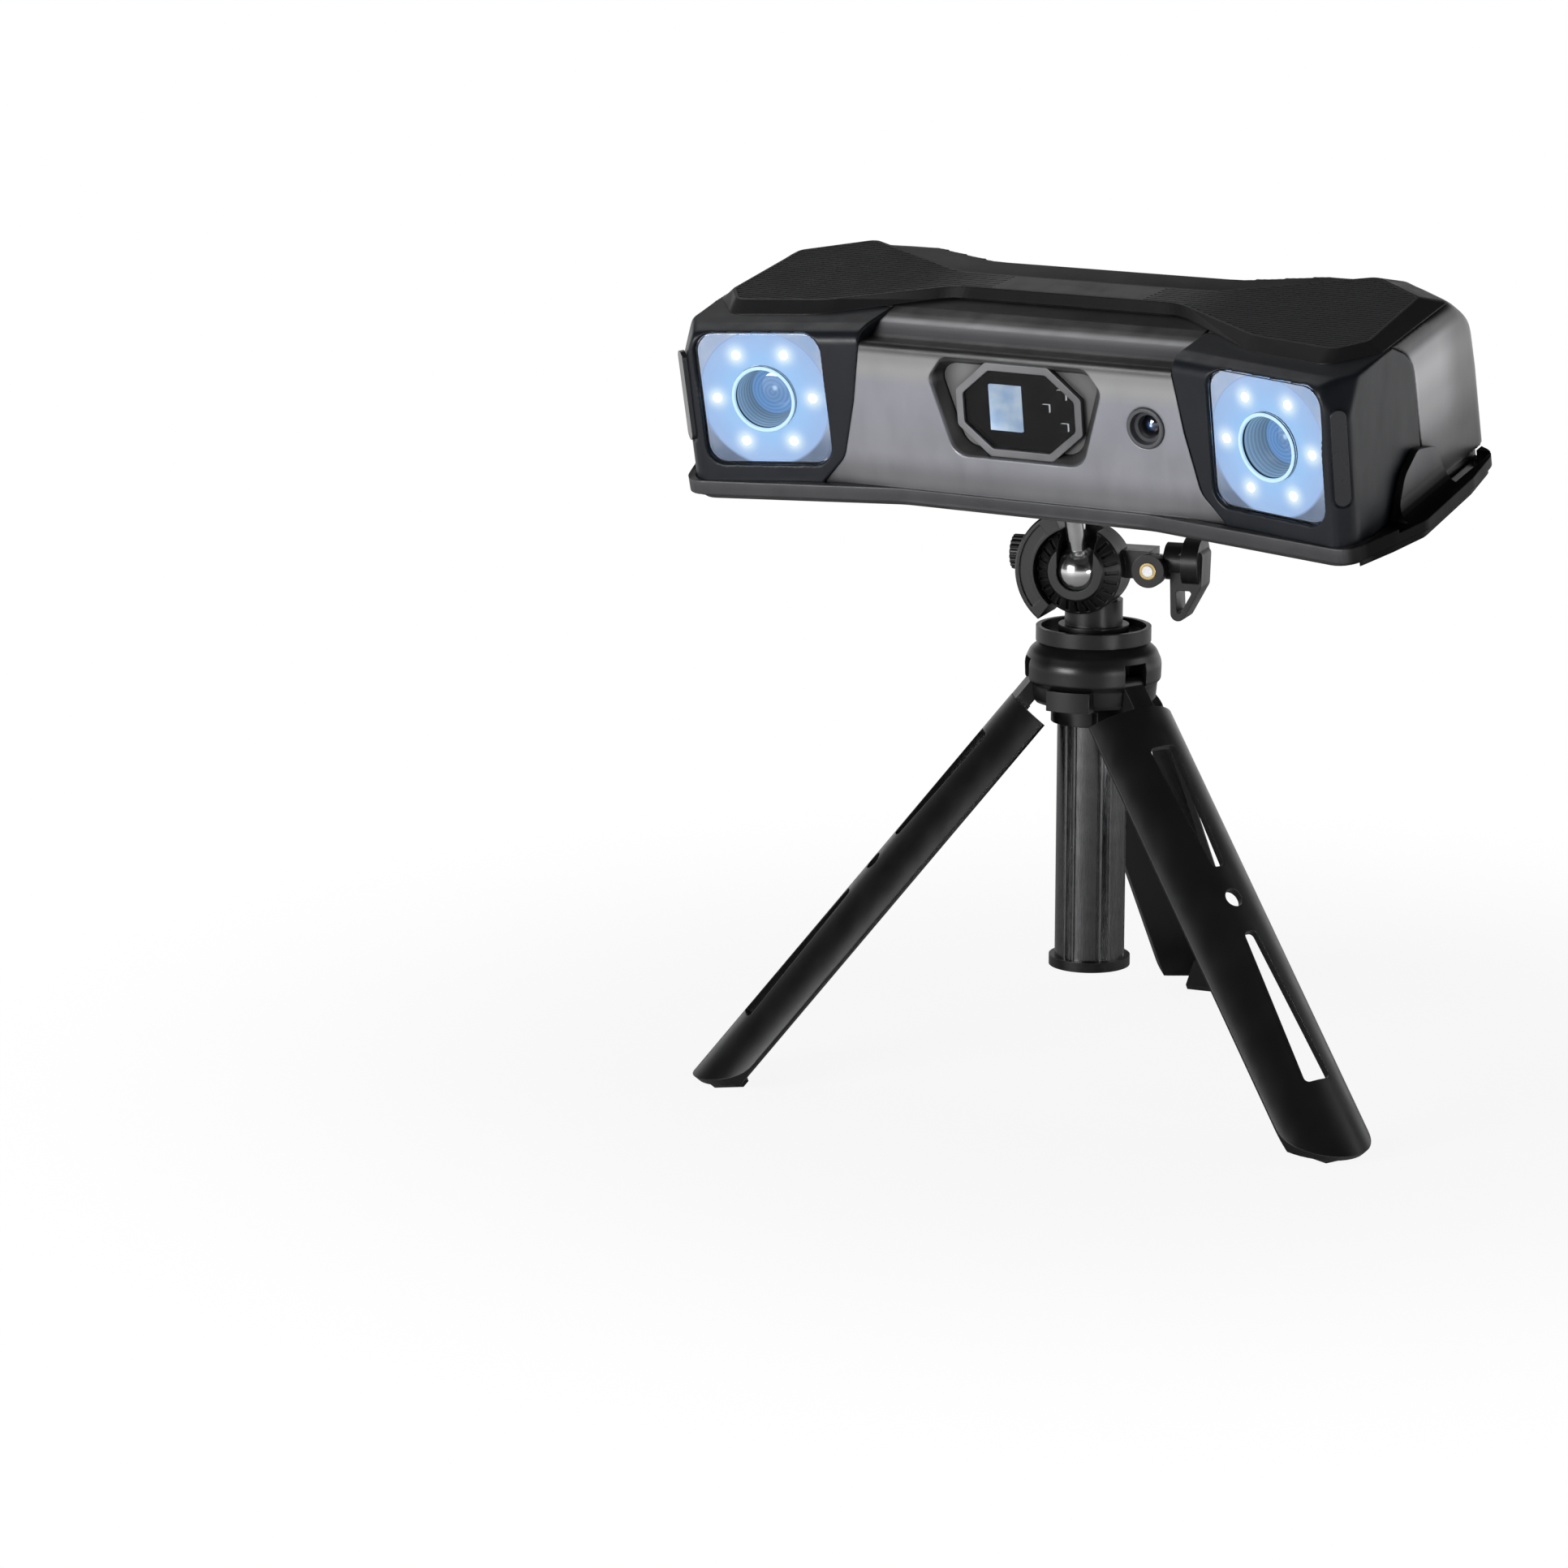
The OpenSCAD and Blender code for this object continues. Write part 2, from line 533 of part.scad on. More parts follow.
// Sill of the rear shell's lower edge, inset by d
module sill(d, z0, z1) {
    intersection() {
        slab(rear_plan(d), z0, z1);
        box(-body_half, body_half, -90, rear_end - 8 - d, z0, z1);
    }
}
module front_fascia() {
    color([0.42, 0.42, 0.45]) on_scanner() difference() {
        union() {
            slab(tray_plan(4), -tray_drop, tray_top);
            slab(tray_plan(1.5), tray_top - 1, tray_top);
            difference() {
                slab(tray_plan(0), tray_top - 0.2, lip_h);
                slab(tray_plan(shell_t), tray_top - 2, lip_h + 1);
                box(-200, 200, -lip_y + 24, 200, -20, 20);
                for (s = [-1, 1]) on_panel(s) panel_form(-pass_gap, roof_line(-pass_gap));
            }
            difference() {
                sill(2.4, tray_top - 0.5, 3);
                sill(shell_t + 2.4, tray_top - 1, 4);
                box(-200, 200, -200, side_seam + 4, -20, 20);
            }
            intersection() {
                on_fascia() difference() {
                    along(rounded(both(concat(fascia_edge(0), [[fascia_half + 20, -2, 0]]))), 0, fascia_t);
                    hull() {
                        recess_shape(0, -0.2, 0);
                        recess_shape(-recess_draft, fascia_t, fascia_t + 0.2);
                    }
                    octagon(seat_fit, 0, 20);
                    translate([eye_x, 0, eye_z]) rod_y(eye_r + seat_fit, -9, 20);
                }
                box(-body_half, body_half, -90, 20, tray_top, 90);
                union() {
                    box(-fascia_half - 13, fascia_half + 13, -90, 90, -20, 90);
                    slab(tray_plan(0), -20, 90);
                }
            }
            across(rounded([[-fascia_y + 6.4, visor_low, 0], [-fascia_y + 6.7, visor_low + 3, 2.8],
                [-fascia_y + 16.4, visor_low + 2, 6], [-fascia_y + 23.4, seam_h - 1.7, 5],
                [side_seam - 14, seam_h, 4], [side_seam - 2, seam_h, 0], [side_seam - 2, seam_h - shell_t, 0],
                [-fascia_y + 26.4, seam_h - 4.6, 4], [-fascia_y + 18.4, visor_low - 0.2, 5],
                [-fascia_y + 12.5, visor_low, 0]]), -fascia_half, fascia_half);
            translate([0, 0, tray_top - 1]) cylinder(r = 11, h = 7 - tray_top);
            for (s = [0, 1]) mirror([s, 0, 0]) {
                end_tab();
                strap_loop();
            }
        }
        for (s = [0, 1]) mirror([s, 0, 0])
            box(body_half - 1, body_half + pass_gap + loop_slot, loop_back - 31, loop_back, -20, 20);
        translate([0, 0, -20]) cylinder(r = 6 + seat_fit, h = 40);
        base_screw_places() {
            translate([0, 0, -20]) cylinder(r = 2.6 + seat_fit, h = 20 - tray_drop + 1.6);
            translate([0, 0, -20]) cylinder(r = 1.3 + seat_fit, h = 30);
        }
    }
}
module rear_shell() {
    color([0.42, 0.42, 0.45]) on_scanner() difference() {
        intersection() {
            slab(rear_plan(0), 3, seam_h);
            across(rear_side(0), -body_half, body_half);
        }
        difference() {
            intersection() {
                slab(rear_plan(shell_t), -9, seam_h - shell_t);
                across(rear_side(shell_t), -body_half, body_half);
            }
            for (s = [0, 1]) mirror([s, 0, 0]) rear_slant(shell_t);
        }
        for (s = [0, 1]) mirror([s, 0, 0]) {
            rear_slant(0);
            front_slant(0);
        }
        across(seam_side(0), -200, 200);
        box(-fascia_half - seat_fit, fascia_half + seat_fit, -200, side_seam - 2, -20, 90);
        translate([0, rear_mid, 18]) round_plate(9.6, 3.8, 1.89, -9, 9);
    }
}
// The bevelled cover: a loft from its seam outline to its top outline and down into the grip's pocket
function turned(f) = [for (i = [len(f) - 1:-1:0]) f[i]];
// A flat end of the loft: a fan round the middle of each wing and the bridge between them
function wing_cap(k, at, mid) = concat([for (i = [0:k / 2 - 2]) [at + i, at + i + 1, mid]],
    [for (i = [k / 2:k - 2]) [at + i, at + i + 1, mid + 1]],
    [[at, mid, at + k / 2 - 1, at + k / 2, mid + 1, at + k - 1]]);
module top_cover() {
    grip = rounded(grip_plan);
    floor_h = body_h - grip_pocket;
    rings = [[rounded(cover_low), seam_h], [rounded(cover_top), body_h], [grip, body_h], [grip, floor_h]];
    k = len(grip);
    color([0.09, 0.09, 0.1]) on_scanner() polyhedron(concat([for (r = rings, p = r[0]) [p.x, p.y, r[1]]],
        [for (z = [seam_h, floor_h], s = [1, -1]) [s * wing_mid.x, wing_mid.y, z]]),
        concat(wing_cap(k, 0, 4 * k), [for (f = wing_cap(k, 3 * k, 4 * k + 2)) turned(f)],
        [for (j = [0:2], i = [0:k - 1]) let(m = (i + 1) % k)
            each [[j * k + i, j * k + k + i, j * k + m], [j * k + m, j * k + k + i, j * k + k + m]]]));
}
module top_grip() {
    color([0.05, 0.05, 0.055]) on_scanner() {
        slab(rounded(grip_plan), body_h - grip_pocket, body_h - rib_h);
        intersection() {
            slab(rounded(grip_plan), body_h - rib_h - 0.1, body_h);
            union() {
                slab(plate_plan, body_h - rib_h - 0.1, body_h);
                for (y = [16.4 - fascia_y:rib_pitch:rear_end - 18])
                    box(-body_half, body_half, y, y + rib_pitch * 0.55, 0, body_h + 9);
            }
        }
    }
}
module projector_bezel() {
    color([0.3, 0.3, 0.32]) on_scanner() on_fascia() difference() {
        union() {
            intersection() {
                recess_shape(2, fascia_t + seat_fit, fascia_t + 2);
                box(-fascia_half, fascia_half, 0, 20, 0, recess_z1 - 0.15);
            }
            octagon(0, fascia_t - 2.4, fascia_t + 1);
        }
        octagon(-oct_rim, -9, 30);
    }
}
module projector_window() {
    color([0.04, 0.04, 0.05]) on_scanner() on_fascia()
        octagon(-oct_rim - seat_fit, fascia_t - 1.2, fascia_t + 0.6);
}
module projector_module() {
    color([0.12, 0.12, 0.13]) on_scanner() on_fascia() difference() {
        box(2 - oct_w, oct_w - 2, fascia_t + 2, fascia_t + 2 + projector_l, recess_z0 + 2, recess_z1 - 3);
        translate([prism_x, 0, recess_mid - 0.6])
            box(-prism_w / 2 - seat_fit, prism_w / 2 + seat_fit, -9, 20,
                -prism_h / 2 - seat_fit, prism_h / 2 + seat_fit);
    }
}
module projector_lens() {
    color([0.5, 0.6, 0.75]) on_scanner() on_fascia() translate([prism_x, 0, recess_mid - 0.6])
        box(-prism_w / 2, prism_w / 2, fascia_t + 0.8, 20, -prism_h / 2, prism_h / 2);
}
module range_sensors() {
    color([0.02, 0.02, 0.02]) on_scanner() on_fascia() {
        for (p = [[0.62, 6.6, 2], [0.36, 0.8, 1.6], [0.64, -6.2, 1.6]])
            translate([p[0] * oct_w, 0, recess_mid + p[1]])
                box(-p[2], p[2], fascia_t + 0.9, fascia_t + 2, -p[2], p[2]);
    }
}
module colour_camera_ring() {
    color([0.08, 0.08, 0.09]) on_scanner() on_fascia() translate([eye_x, 0, eye_z]) rotate([90, 0, 0])
        rotate_extrude() polygon([[2.4, -12], [eye_r + 2, -12], [eye_r + 2, -fascia_t], [eye_r, -fascia_t],
        [eye_r, 0.4], [eye_r - 0.5, 0.8], [eye_r - 1.6, 0.8], [eye_r - 2.2, -1.5], [4.6, -2.2], [4.2, -4],
        [4.2, -7], [2.4, -7]]);
}
module colour_camera_lens() {
    color([0.2, 0.25, 0.35]) on_scanner() on_fascia() translate([eye_x, 0, eye_z]) rotate([90, 0, 0])
        rotate_extrude() polygon(concat([[0, -7], [4.1, -7]],
        [for (i = [0:6]) [4.1 * (1 - i / 6), -5.6 + 1.8 * (1 - pow(1 - i / 6, 2))]]));
}
// Inner frame: a spine behind the projector, and an arm and a plate behind each lamp board
module optical_frame() {
    color([0.6, 0.6, 0.62]) on_scanner() difference() {
        union() {
            box(-frame_x, frame_x, spine_y, spine_y + 4, tray_top, visor_low - 3);
            for (s = [0, 1]) mirror([s, 0, 0])
                box(frame_x - 6, frame_x, frame_front, spine_y + 4, tray_top + 8, visor_low - 3);
            for (s = [-1, 1]) on_panel(s)
                box(5 - rim_in - window_w / 2, window_w / 2 - 5, 2, 5, 1 - window_w / 2, window_w / 2 - 7);
            for (x = [10 - fascia_half, fascia_half - 10], z = [12, visor_low - 13])
                translate([x, 0, z]) rod_y(3, spine_y + 3, board_y);
        }
        for (s = [-1, 1]) on_panel(s) rod_y(barrel_r + pass_gap, -9, barrel_l + 20);
    }
}
module main_board() {
    color([0.05, 0.25, 0.12]) on_scanner()
        box(-fascia_half - 2, fascia_half + 2, board_y, board_y + 1.6, 6, visor_low - 5);
}
module usb_socket() {
    color([0.7, 0.7, 0.72]) on_scanner() translate([0, rear_mid, 18]) difference() {
        round_plate(9, 3.2, 1.59, board_y + 1.6 - rear_mid, -0.6);
        round_plate(8.2, 2.4, 1.19, -6, 9);
        box(-9, 9, -40, 0, -9, -1.61);
    }
}
module base_screw_places() {
    for (s = [-1, 1]) {
        for (y = [18.4 - fascia_y, rear_mid - 7]) translate([s * (body_half - 31), y, 0]) children();
        translate([s * (fascia_half - 26), rear_mid - 7, 0]) children();
    }
}
module base_screws() {
    color([0.3, 0.3, 0.32]) on_scanner() base_screw_places() {
        translate([0, 0, 0.3 - tray_drop]) cylinder(r = 2.6, h = 1.3);
        translate([0, 0, 1 - tray_drop]) cylinder(r = 1.3, h = tray_t - 1);
    }
}
module mount_bush() {
    color([0.75, 0.6, 0.25]) on_scanner() difference() {
        translate([0, 0, -tray_drop]) cylinder(r = 6, h = tray_drop + 6);
        translate([0, 0, -20]) cylinder(r = 3 + run_fit, h = 40);
    }
}

// Ball head
module ball_stem() {
    top = -tray_drop - pad_t;
    centre = -tray_drop - stem_reach;
    color([0.75, 0.75, 0.76]) on_scanner() difference() {
        union() {
            translate([0, 0, centre]) sphere(r = ball_r);
            rotate_extrude() polygon([[0, centre + 5], [neck_r, centre + 5], [neck_r, top - platform_t - 7],
                [neck_r + 1.6, top - platform_t - 3.4], [neck_r + 5, top - platform_t],
                [platform_r - 0.8, top - platform_t], [platform_r, top - platform_t + 0.8], [platform_r, top],
                [0, top]]);
        }
        translate([0, 0, top - platform_t - 2]) cylinder(r = 3 + seat_fit / 2, h = 30);
    }
}
module platform_pad() {
    color([0.04, 0.04, 0.04]) on_scanner() translate([0, 0, -tray_drop - pad_t]) difference() {
        cylinder(r = platform_r - 0.5, h = pad_t);
        translate([0, 0, -1]) cylinder(r = 3 + seat_fit, h = 9);
    }
}
module camera_screw() {
    color([0.7, 0.7, 0.72]) on_scanner() translate([0, 0, -tray_drop - pad_t - platform_t - 2])
        cylinder(r = 3, h = pad_t + platform_t + 2 + tray_drop + 4);
}
module stem_notch() {
    box(-notch_w / 2, notch_w / 2, -40, neck_r + 2.4, 0, 40);
}
module ball_seat() {
    sphere(r = ball_r + run_fit);
}
module bolt_bore(c) {
    translate([0, bolt_y, bolt_z]) rod_x(bolt_r + c, -60, 60);
}
module head_body() {
    color([0.04, 0.04, 0.045]) on_head() difference() {
        union() {
            rotate([90, 0, 0]) rotate_extrude() polygon([[0, 2], [head_r, 2], [head_r, -12], [head_r - 1.5, -16],
                [head_r - 5, -head_back], [0, -head_back]]);
            translate([foot_x, foot_y, foot_low]) cylinder(r = 11.5, h = 14);
            translate([foot_x, foot_y, foot_low]) cylinder(r = 14, h = 4);
            box(10, pin_x, 3, 18, bolt_z - 6, bolt_z + 5);
            translate([pin_x, 0, 0.5]) rod_y(boss_r, 1, boss_y);
        }
        ball_seat();
        stem_notch();
        bolt_bore(run_fit);
        translate([pin_x, 0, 0.5]) {
            rod_y(2.2 + run_fit, -9, boss_y - 0.8);
            rod_y(3.3 + run_fit, -9, 4);
        }
        translate([foot_x, foot_y, foot_low - 1]) cylinder(r = 3 + run_fit, h = 9);
    }
}
module ball_ring() {
    color([0.07, 0.07, 0.075]) on_head() difference() {
        rotate([90, 0, 0]) rotate_extrude() polygon([[0, 2], [head_r, 2], [head_r, 3.2], [head_r - 0.8, 3.6],
            [face_r + 0.6, 7.6], [face_r, 8.5], [0, 8.5]]);
        ball_seat();
        stem_notch();
        rod_y(mouth_r, -20, 0);
        for (i = [0:fin_count - 1]) rotate([0, i * 360 / fin_count, 0])
            translate([face_r + 1, -9, -0.75]) cube([head_r - face_r - 2, 3.8, 1.5]);
    }
}
module clamp_arm() {
    color([0.05, 0.05, 0.055]) on_head() difference() {
        rotate([90, 0, 0]) rotate([0, 0, 112]) translate([0, 0, -18]) rotate_extrude(angle = 120)
            polygon([[head_r + run_fit, 1], [head_r + arm_t, 0], [head_r + arm_t + 0.8, 1],
            [head_r + arm_t + 0.8, 24], [head_r + arm_t, 25], [head_r + run_fit, 25]]);
        rotate([90, 0, 0]) rotate([0, 0, 130]) translate([0, 0, 6.2]) rotate_extrude(angle = 90)
            polygon([[head_r + 1.4, 0], [head_r + arm_t - 1.2, 0], [head_r + arm_t - 1.2, 9], [head_r + 1.4, 9]]);
        bolt_bore(run_fit);
        translate([0, bolt_y, bolt_z]) rod_x(knob_r + pass_gap, -60, -knob_x);
    }
}
module clamp_bolt() {
    color([0.55, 0.55, 0.56]) on_head() translate([0, bolt_y, bolt_z]) rod_x(bolt_r, -knob_x - 3, lever_x + 7);
}
module clamp_knob() {
    color([0.06, 0.06, 0.06]) on_head() translate([0, bolt_y, bolt_z]) difference() {
        rod_x(knob_r, -knob_x - knob_l, -knob_x - run_fit);
        rod_x(bolt_r + run_fit, -knob_x - 3.1, 0);
        for (i = [0:knob_flutes - 1]) rotate([i * 360 / knob_flutes, 0, 0]) translate([0, knob_r + 0.25, 0])
            rod_x(0.75, -60, -knob_x - 1);
    }
}
module clamp_lever() {
    x0 = lever_x;
    v = rounded([[x0 + 2.8, -3, 0], [x0 + 3.4, -lever_l, 3], [x0 + 8.4, -lever_l + 1, 3], [x0 + 15.6, -9, 3],
        [x0 + 16, 4, 2], [x0 + 11.5, 8, 3], [x0 + 6.5, 4, 0]]);
    hole = rounded([[x0 + 5.4, -10.6, 1], [x0 + 5.9, -lever_l + 3.6, 0.6], [x0 + 7.3, -lever_l + 3.8, 0.6],
        [x0 + 12.2, -10.6, 1]]);
    color([0.05, 0.05, 0.055]) on_head() translate([0, bolt_y, bolt_z]) difference() {
        union() {
            rod_x(lever_hub, x0, x0 + 9);
            rod_x(lever_hub + 2.6, x0 + 7.8, x0 + 14.6);
            along(v, -6.5, 6.5);
        }
        along(hole, -20, 20);
        rod_x(bolt_r + run_fit, 0, x0 + 7.2);
        for (i = [0:2]) translate([x0 + 15.6 - i * 1.6, -20, -12.6 - i * 2.8]) cube([6, 40, 1]);
    }
}
module cross_pin() {
    color([0.72, 0.72, 0.73]) on_head() translate([pin_x, 0, 0.5]) rod_y(2.2, 0.6, boss_y - 1);
}
module pin_bush() {
    color([0.8, 0.62, 0.25]) on_head() translate([pin_x, 0, 0.5]) difference() {
        rod_y(3.3, 0.8, 4);
        rod_y(2.2 + run_fit, -9, 9);
    }
}

// Tripod
module head_stud() {
    color([0.7, 0.7, 0.72]) on_stand() translate([0, 0, dish_low + 0.4]) cylinder(r = 3, h = dish_floor + 6.6);
}
module top_dish() {
    color([0.06, 0.06, 0.065]) on_stand() difference() {
        union() {
            translate([0, 0, dish_low]) cylinder(r = dish_r, h = dish_h);
            translate([0, 0, dish_low - 10]) cylinder(r = column_r - column_t - seat_fit / 2, h = 11);
        }
        translate([0, 0, floor_z]) cylinder(r = dish_r - 2, h = 20);
        translate([0, 0, dish_low + 0.4]) cylinder(r = 3 + seat_fit / 2, h = 20);
    }
}
module column() {
    color([0.05, 0.05, 0.055]) on_stand() difference() {
        translate([0, 0, column_z + 4]) cylinder(r = column_r, h = column_top - column_z - 4);
        translate([0, 0, 0]) cylinder(r = column_r - column_t, h = 300);
        for (a = [0:60:300], d = [-8, 8]) rotate([0, 0, a + 23 + d]) translate([column_r + 0.6, 0, 0])
            cylinder(r = 1.2, h = 300);
    }
}
module column_cap() {
    color([0.05, 0.05, 0.055]) on_stand() {
        translate([0, 0, column_z]) cylinder(r = cap_r, h = 4);
        translate([0, 0, column_z + 3]) cylinder(r = column_r - column_t - seat_fit / 2, h = 9);
    }
}
module on_latch() {
    on_stand() rotate([0, 0, latch_turn]) children();
}
module hub() {
    color([0.05, 0.05, 0.055]) difference() {
        on_stand() translate([0, 0, hub_low]) rotate_extrude() polygon(rounded([[column_r + run_fit, 0, 0],
            [hub_r - 3.4, 0, 0], [hub_r - 2.2, 1.4, 0], [hub_r - 1.6, 7.6, 2], [hub_r - 0.2, 9, 2],
            [hub_r, 16, 8],
            [hub_r - 2, 20.5, 5], [hub_r - 6, hub_h, 0], [column_r + run_fit, hub_h, 0]]));
        for (a = leg_turns) on_stand() rotate([0, 0, a]) {
            box(hinge_r - 6.4, 60, -tongue_w / 2 - pass_gap, tongue_w / 2 + pass_gap, 0, hinge_z + 9);
            translate([hinge_r, 0, hinge_z]) rod_y(hinge_pin_r + run_fit, -9.2, 9.2);
        }
        on_latch() {
            box(latch_in - latch_travel - 0.3, 60, -latch_w / 2 - run_fit, latch_w / 2 + run_fit,
                0, latch_z0 + latch_h + run_fit);
            translate([0, 0, latch_z0 + latch_h / 2]) rod_x(spring_r + seat_fit, column_r + 1.6, latch_in);
        }
    }
}
module hub_collar() {
    color([0.06, 0.06, 0.065]) on_stand() difference() {
        translate([0, 0, collar_low]) cylinder(r = collar_r, h = collar_h);
        translate([0, 0, 0]) cylinder(r = column_r + run_fit, h = 300);
        rotate([0, 0, latch_turn + 24]) box(column_r + 1.2, 40, -1, 1, 0, collar_low + 6);
    }
}
module latch() {
    color([0.07, 0.07, 0.075]) on_latch() difference() {
        intersection() {
            box(latch_in, latch_out, -latch_w / 2, latch_w / 2, latch_z0, latch_z0 + latch_h);
            translate([latch_out - 30, 0, 0]) cylinder(r = 30, h = 300);
        }
        translate([0, 0, latch_z0 + latch_h / 2]) rod_x(spring_r + seat_fit, 0, latch_in + 4);
    }
}
module latch_spring() {
    color([0.7, 0.7, 0.72]) on_latch() translate([0, 0, latch_z0 + latch_h / 2]) difference() {
        rod_x(spring_r, column_r + 1.7, latch_in + 1.6);
        rod_x(spring_r - 0.7, column_r + 1, latch_in + 2);
    }
}
module leg_pins() {
    color([0.6, 0.6, 0.62]) for (a = leg_turns) on_stand() rotate([0, 0, a]) translate([hinge_r, 0, hinge_z])
        rod_y(hinge_pin_r, -9, 9);
}
// A long hole of a leg that widens or narrows along it
module leg_slot(s0, w0, s1, w1) {
    polygon(rounded([[-w0 / 2, -s0, 2], [w0 / 2, -s0, 2], [w1 / 2, -s1, 2], [-w1 / 2, -s1, 2]]));
}
// An outline seen from outside a leg, drawn out through its wall
module leg_cut() {
    rotate([90, 0, 90]) linear_extrude(leg_r + 9) children();
}
module leg(a) {
    w = leg_tip_r;
    color([0.06, 0.06, 0.065]) on_leg(a) difference() {
        union() {
            intersection() {
                difference() {
                    translate([0, 0, -leg_l - 1]) cylinder(r = leg_r, h = leg_l + 2);
                    translate([0, 0, -leg_l - 2]) cylinder(r = leg_r - leg_t, h = leg_l + 4);
                }
                leg_cut() polygon(rounded([[-w, -leg_l, w - 0.01], [w, -leg_l, w - 0.01], [w, -leg_start, 0],
                    [-w, -leg_start, 0]], 14));
                slab([[0, 0], [60, -60 * tan(leg_arc)], [60, 60 * tan(leg_arc)]], -leg_l - 3, 3);
            }
            box(hinge_r - 3.4, leg_r - 0.6, -tongue_w / 2, tongue_w / 2, -leg_start - 4, 0);
            translate([hinge_r, 0, 0]) rod_y(3.4, -tongue_w / 2, tongue_w / 2);
        }
        leg_cut() leg_slot(leg_start + 18, slot_wide, leg_hole - 14, slot_narrow);
        leg_cut() leg_slot(leg_hole + 15, slot_narrow, leg_l - 33, slot_wide);
        translate([0, 0, -leg_hole]) rod_x(leg_hole_r, 0, leg_r + 9);
        translate([hinge_r, 0, 0]) rod_y(hinge_pin_r + run_fit, -40, 40);
    }
}
// A rubber foot inside the tip of a leg, cut flat on the floor
module foot(a) {
    color([0.03, 0.03, 0.03]) intersection() {
        on_leg(a) intersection() {
            box(8, leg_r, -foot_w / 2, foot_w / 2, 2.4 - leg_l, 13 - leg_l);
            cylinder(r = leg_r - leg_t - seat_fit / 2, h = 900, center = true);
        }
        translate([-400, -400, 0]) cube([800, 800, 40]);
    }
}

front_fascia();
rear_shell();
top_cover();
top_grip();
camera_panel(-1);  // camera_panel_left
camera_panel(1);  // camera_panel_right
window(-1);  // window_left
window(1);  // window_right
lamp_board(-1);  // lamp_board_left
lamp_board(1);  // lamp_board_right
lamps(-1);  // lamps_left
lamps(1);  // lamps_right
lens_barrel(-1);  // lens_barrel_left
lens_barrel(1);  // lens_barrel_right
camera_lens(-1);  // camera_lens_left
camera_lens(1);  // camera_lens_right
light_strip(-1);  // light_strip_left
light_strip(1);  // light_strip_right
projector_bezel();
projector_window();
projector_module();
projector_lens();
range_sensors();
colour_camera_ring();
colour_camera_lens();
optical_frame();
main_board();
usb_socket();
base_screws();
mount_bush();
ball_stem();
platform_pad();
camera_screw();
head_body();
ball_ring();
clamp_arm();
clamp_bolt();
clamp_knob();
clamp_lever();
cross_pin();
pin_bush();
head_stud();
top_dish();
column();
column_cap();
hub();
hub_collar();
latch();
latch_spring();
leg_pins();
leg(leg_turns[0]);  // leg_rear
leg(leg_turns[1]);  // leg_left
leg(leg_turns[2]);  // leg_right
foot(leg_turns[0]);  // foot_rear
foot(leg_turns[1]);  // foot_left
foot(leg_turns[2]);  // foot_right
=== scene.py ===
"""Looks of the handheld three-d scanner on its ball head and mini tripod."""
import json
from math import cos, pi, radians, sin

import bmesh
import bpy
import numpy as np
from mathutils import Matrix, Vector


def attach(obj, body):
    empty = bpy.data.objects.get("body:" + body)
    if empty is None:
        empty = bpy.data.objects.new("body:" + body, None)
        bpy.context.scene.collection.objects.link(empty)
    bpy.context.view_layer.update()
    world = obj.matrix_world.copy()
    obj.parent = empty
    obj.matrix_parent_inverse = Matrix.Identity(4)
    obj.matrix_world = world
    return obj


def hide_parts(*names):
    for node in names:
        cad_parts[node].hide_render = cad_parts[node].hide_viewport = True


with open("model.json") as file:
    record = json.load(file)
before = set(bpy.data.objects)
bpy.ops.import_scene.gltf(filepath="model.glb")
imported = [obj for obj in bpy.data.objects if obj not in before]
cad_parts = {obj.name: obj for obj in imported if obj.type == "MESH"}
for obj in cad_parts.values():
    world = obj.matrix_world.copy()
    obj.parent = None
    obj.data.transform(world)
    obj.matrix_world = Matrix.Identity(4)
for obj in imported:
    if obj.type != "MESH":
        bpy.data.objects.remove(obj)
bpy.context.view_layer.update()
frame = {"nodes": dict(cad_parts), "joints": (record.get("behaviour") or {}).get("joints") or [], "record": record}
NODES = frame["nodes"]
RECORD = frame["record"]
BODY_OF = {n: b for b, members in RECORD["behaviour"]["bodies"].items() for n in members}
SLOT_OF = {p["node"]: p["material_slot"] for p in RECORD["subparts"]}
JOINTS = {j["name"]: j for j in frame["joints"]}
SIDES = (("left", -1), ("right", 1))
MM = 0.001

# Camera, as the photograph was taken: millimetres from the tripod axis, and the focal length in pixels
PHOTO_SIZE = 1932
FOCAL_PX = 6214.2
CAMERA_AT = Vector((1001.0, -1697.0, 555.0))
CAMERA_LOOKS = Vector((-0.5475, 0.8084, -0.2163))
SENSOR_MM = 36.0

# Studio: light from all round, how dim the room is on the camera's side, what share the ceiling gives
AMBIENT, ROOM_DIM, CEILING = 0.26, 0.06, 0.04
# Where the mirrored wall brightens from the side to the back and dims with height, and where the light does
WALL_BACK, WALL_UP, LIGHT_UP = (-0.1, 0.7), (0.06, 0.45), (0.0, 0.7)
# The floor's half width, and how far out it fades to white, seen and mirrored, in metres
FLOOR_HALF, SEEN_FADE, MIRRORED_FADE = 6.0, (0.15, 0.5), (0.35, 1.4)

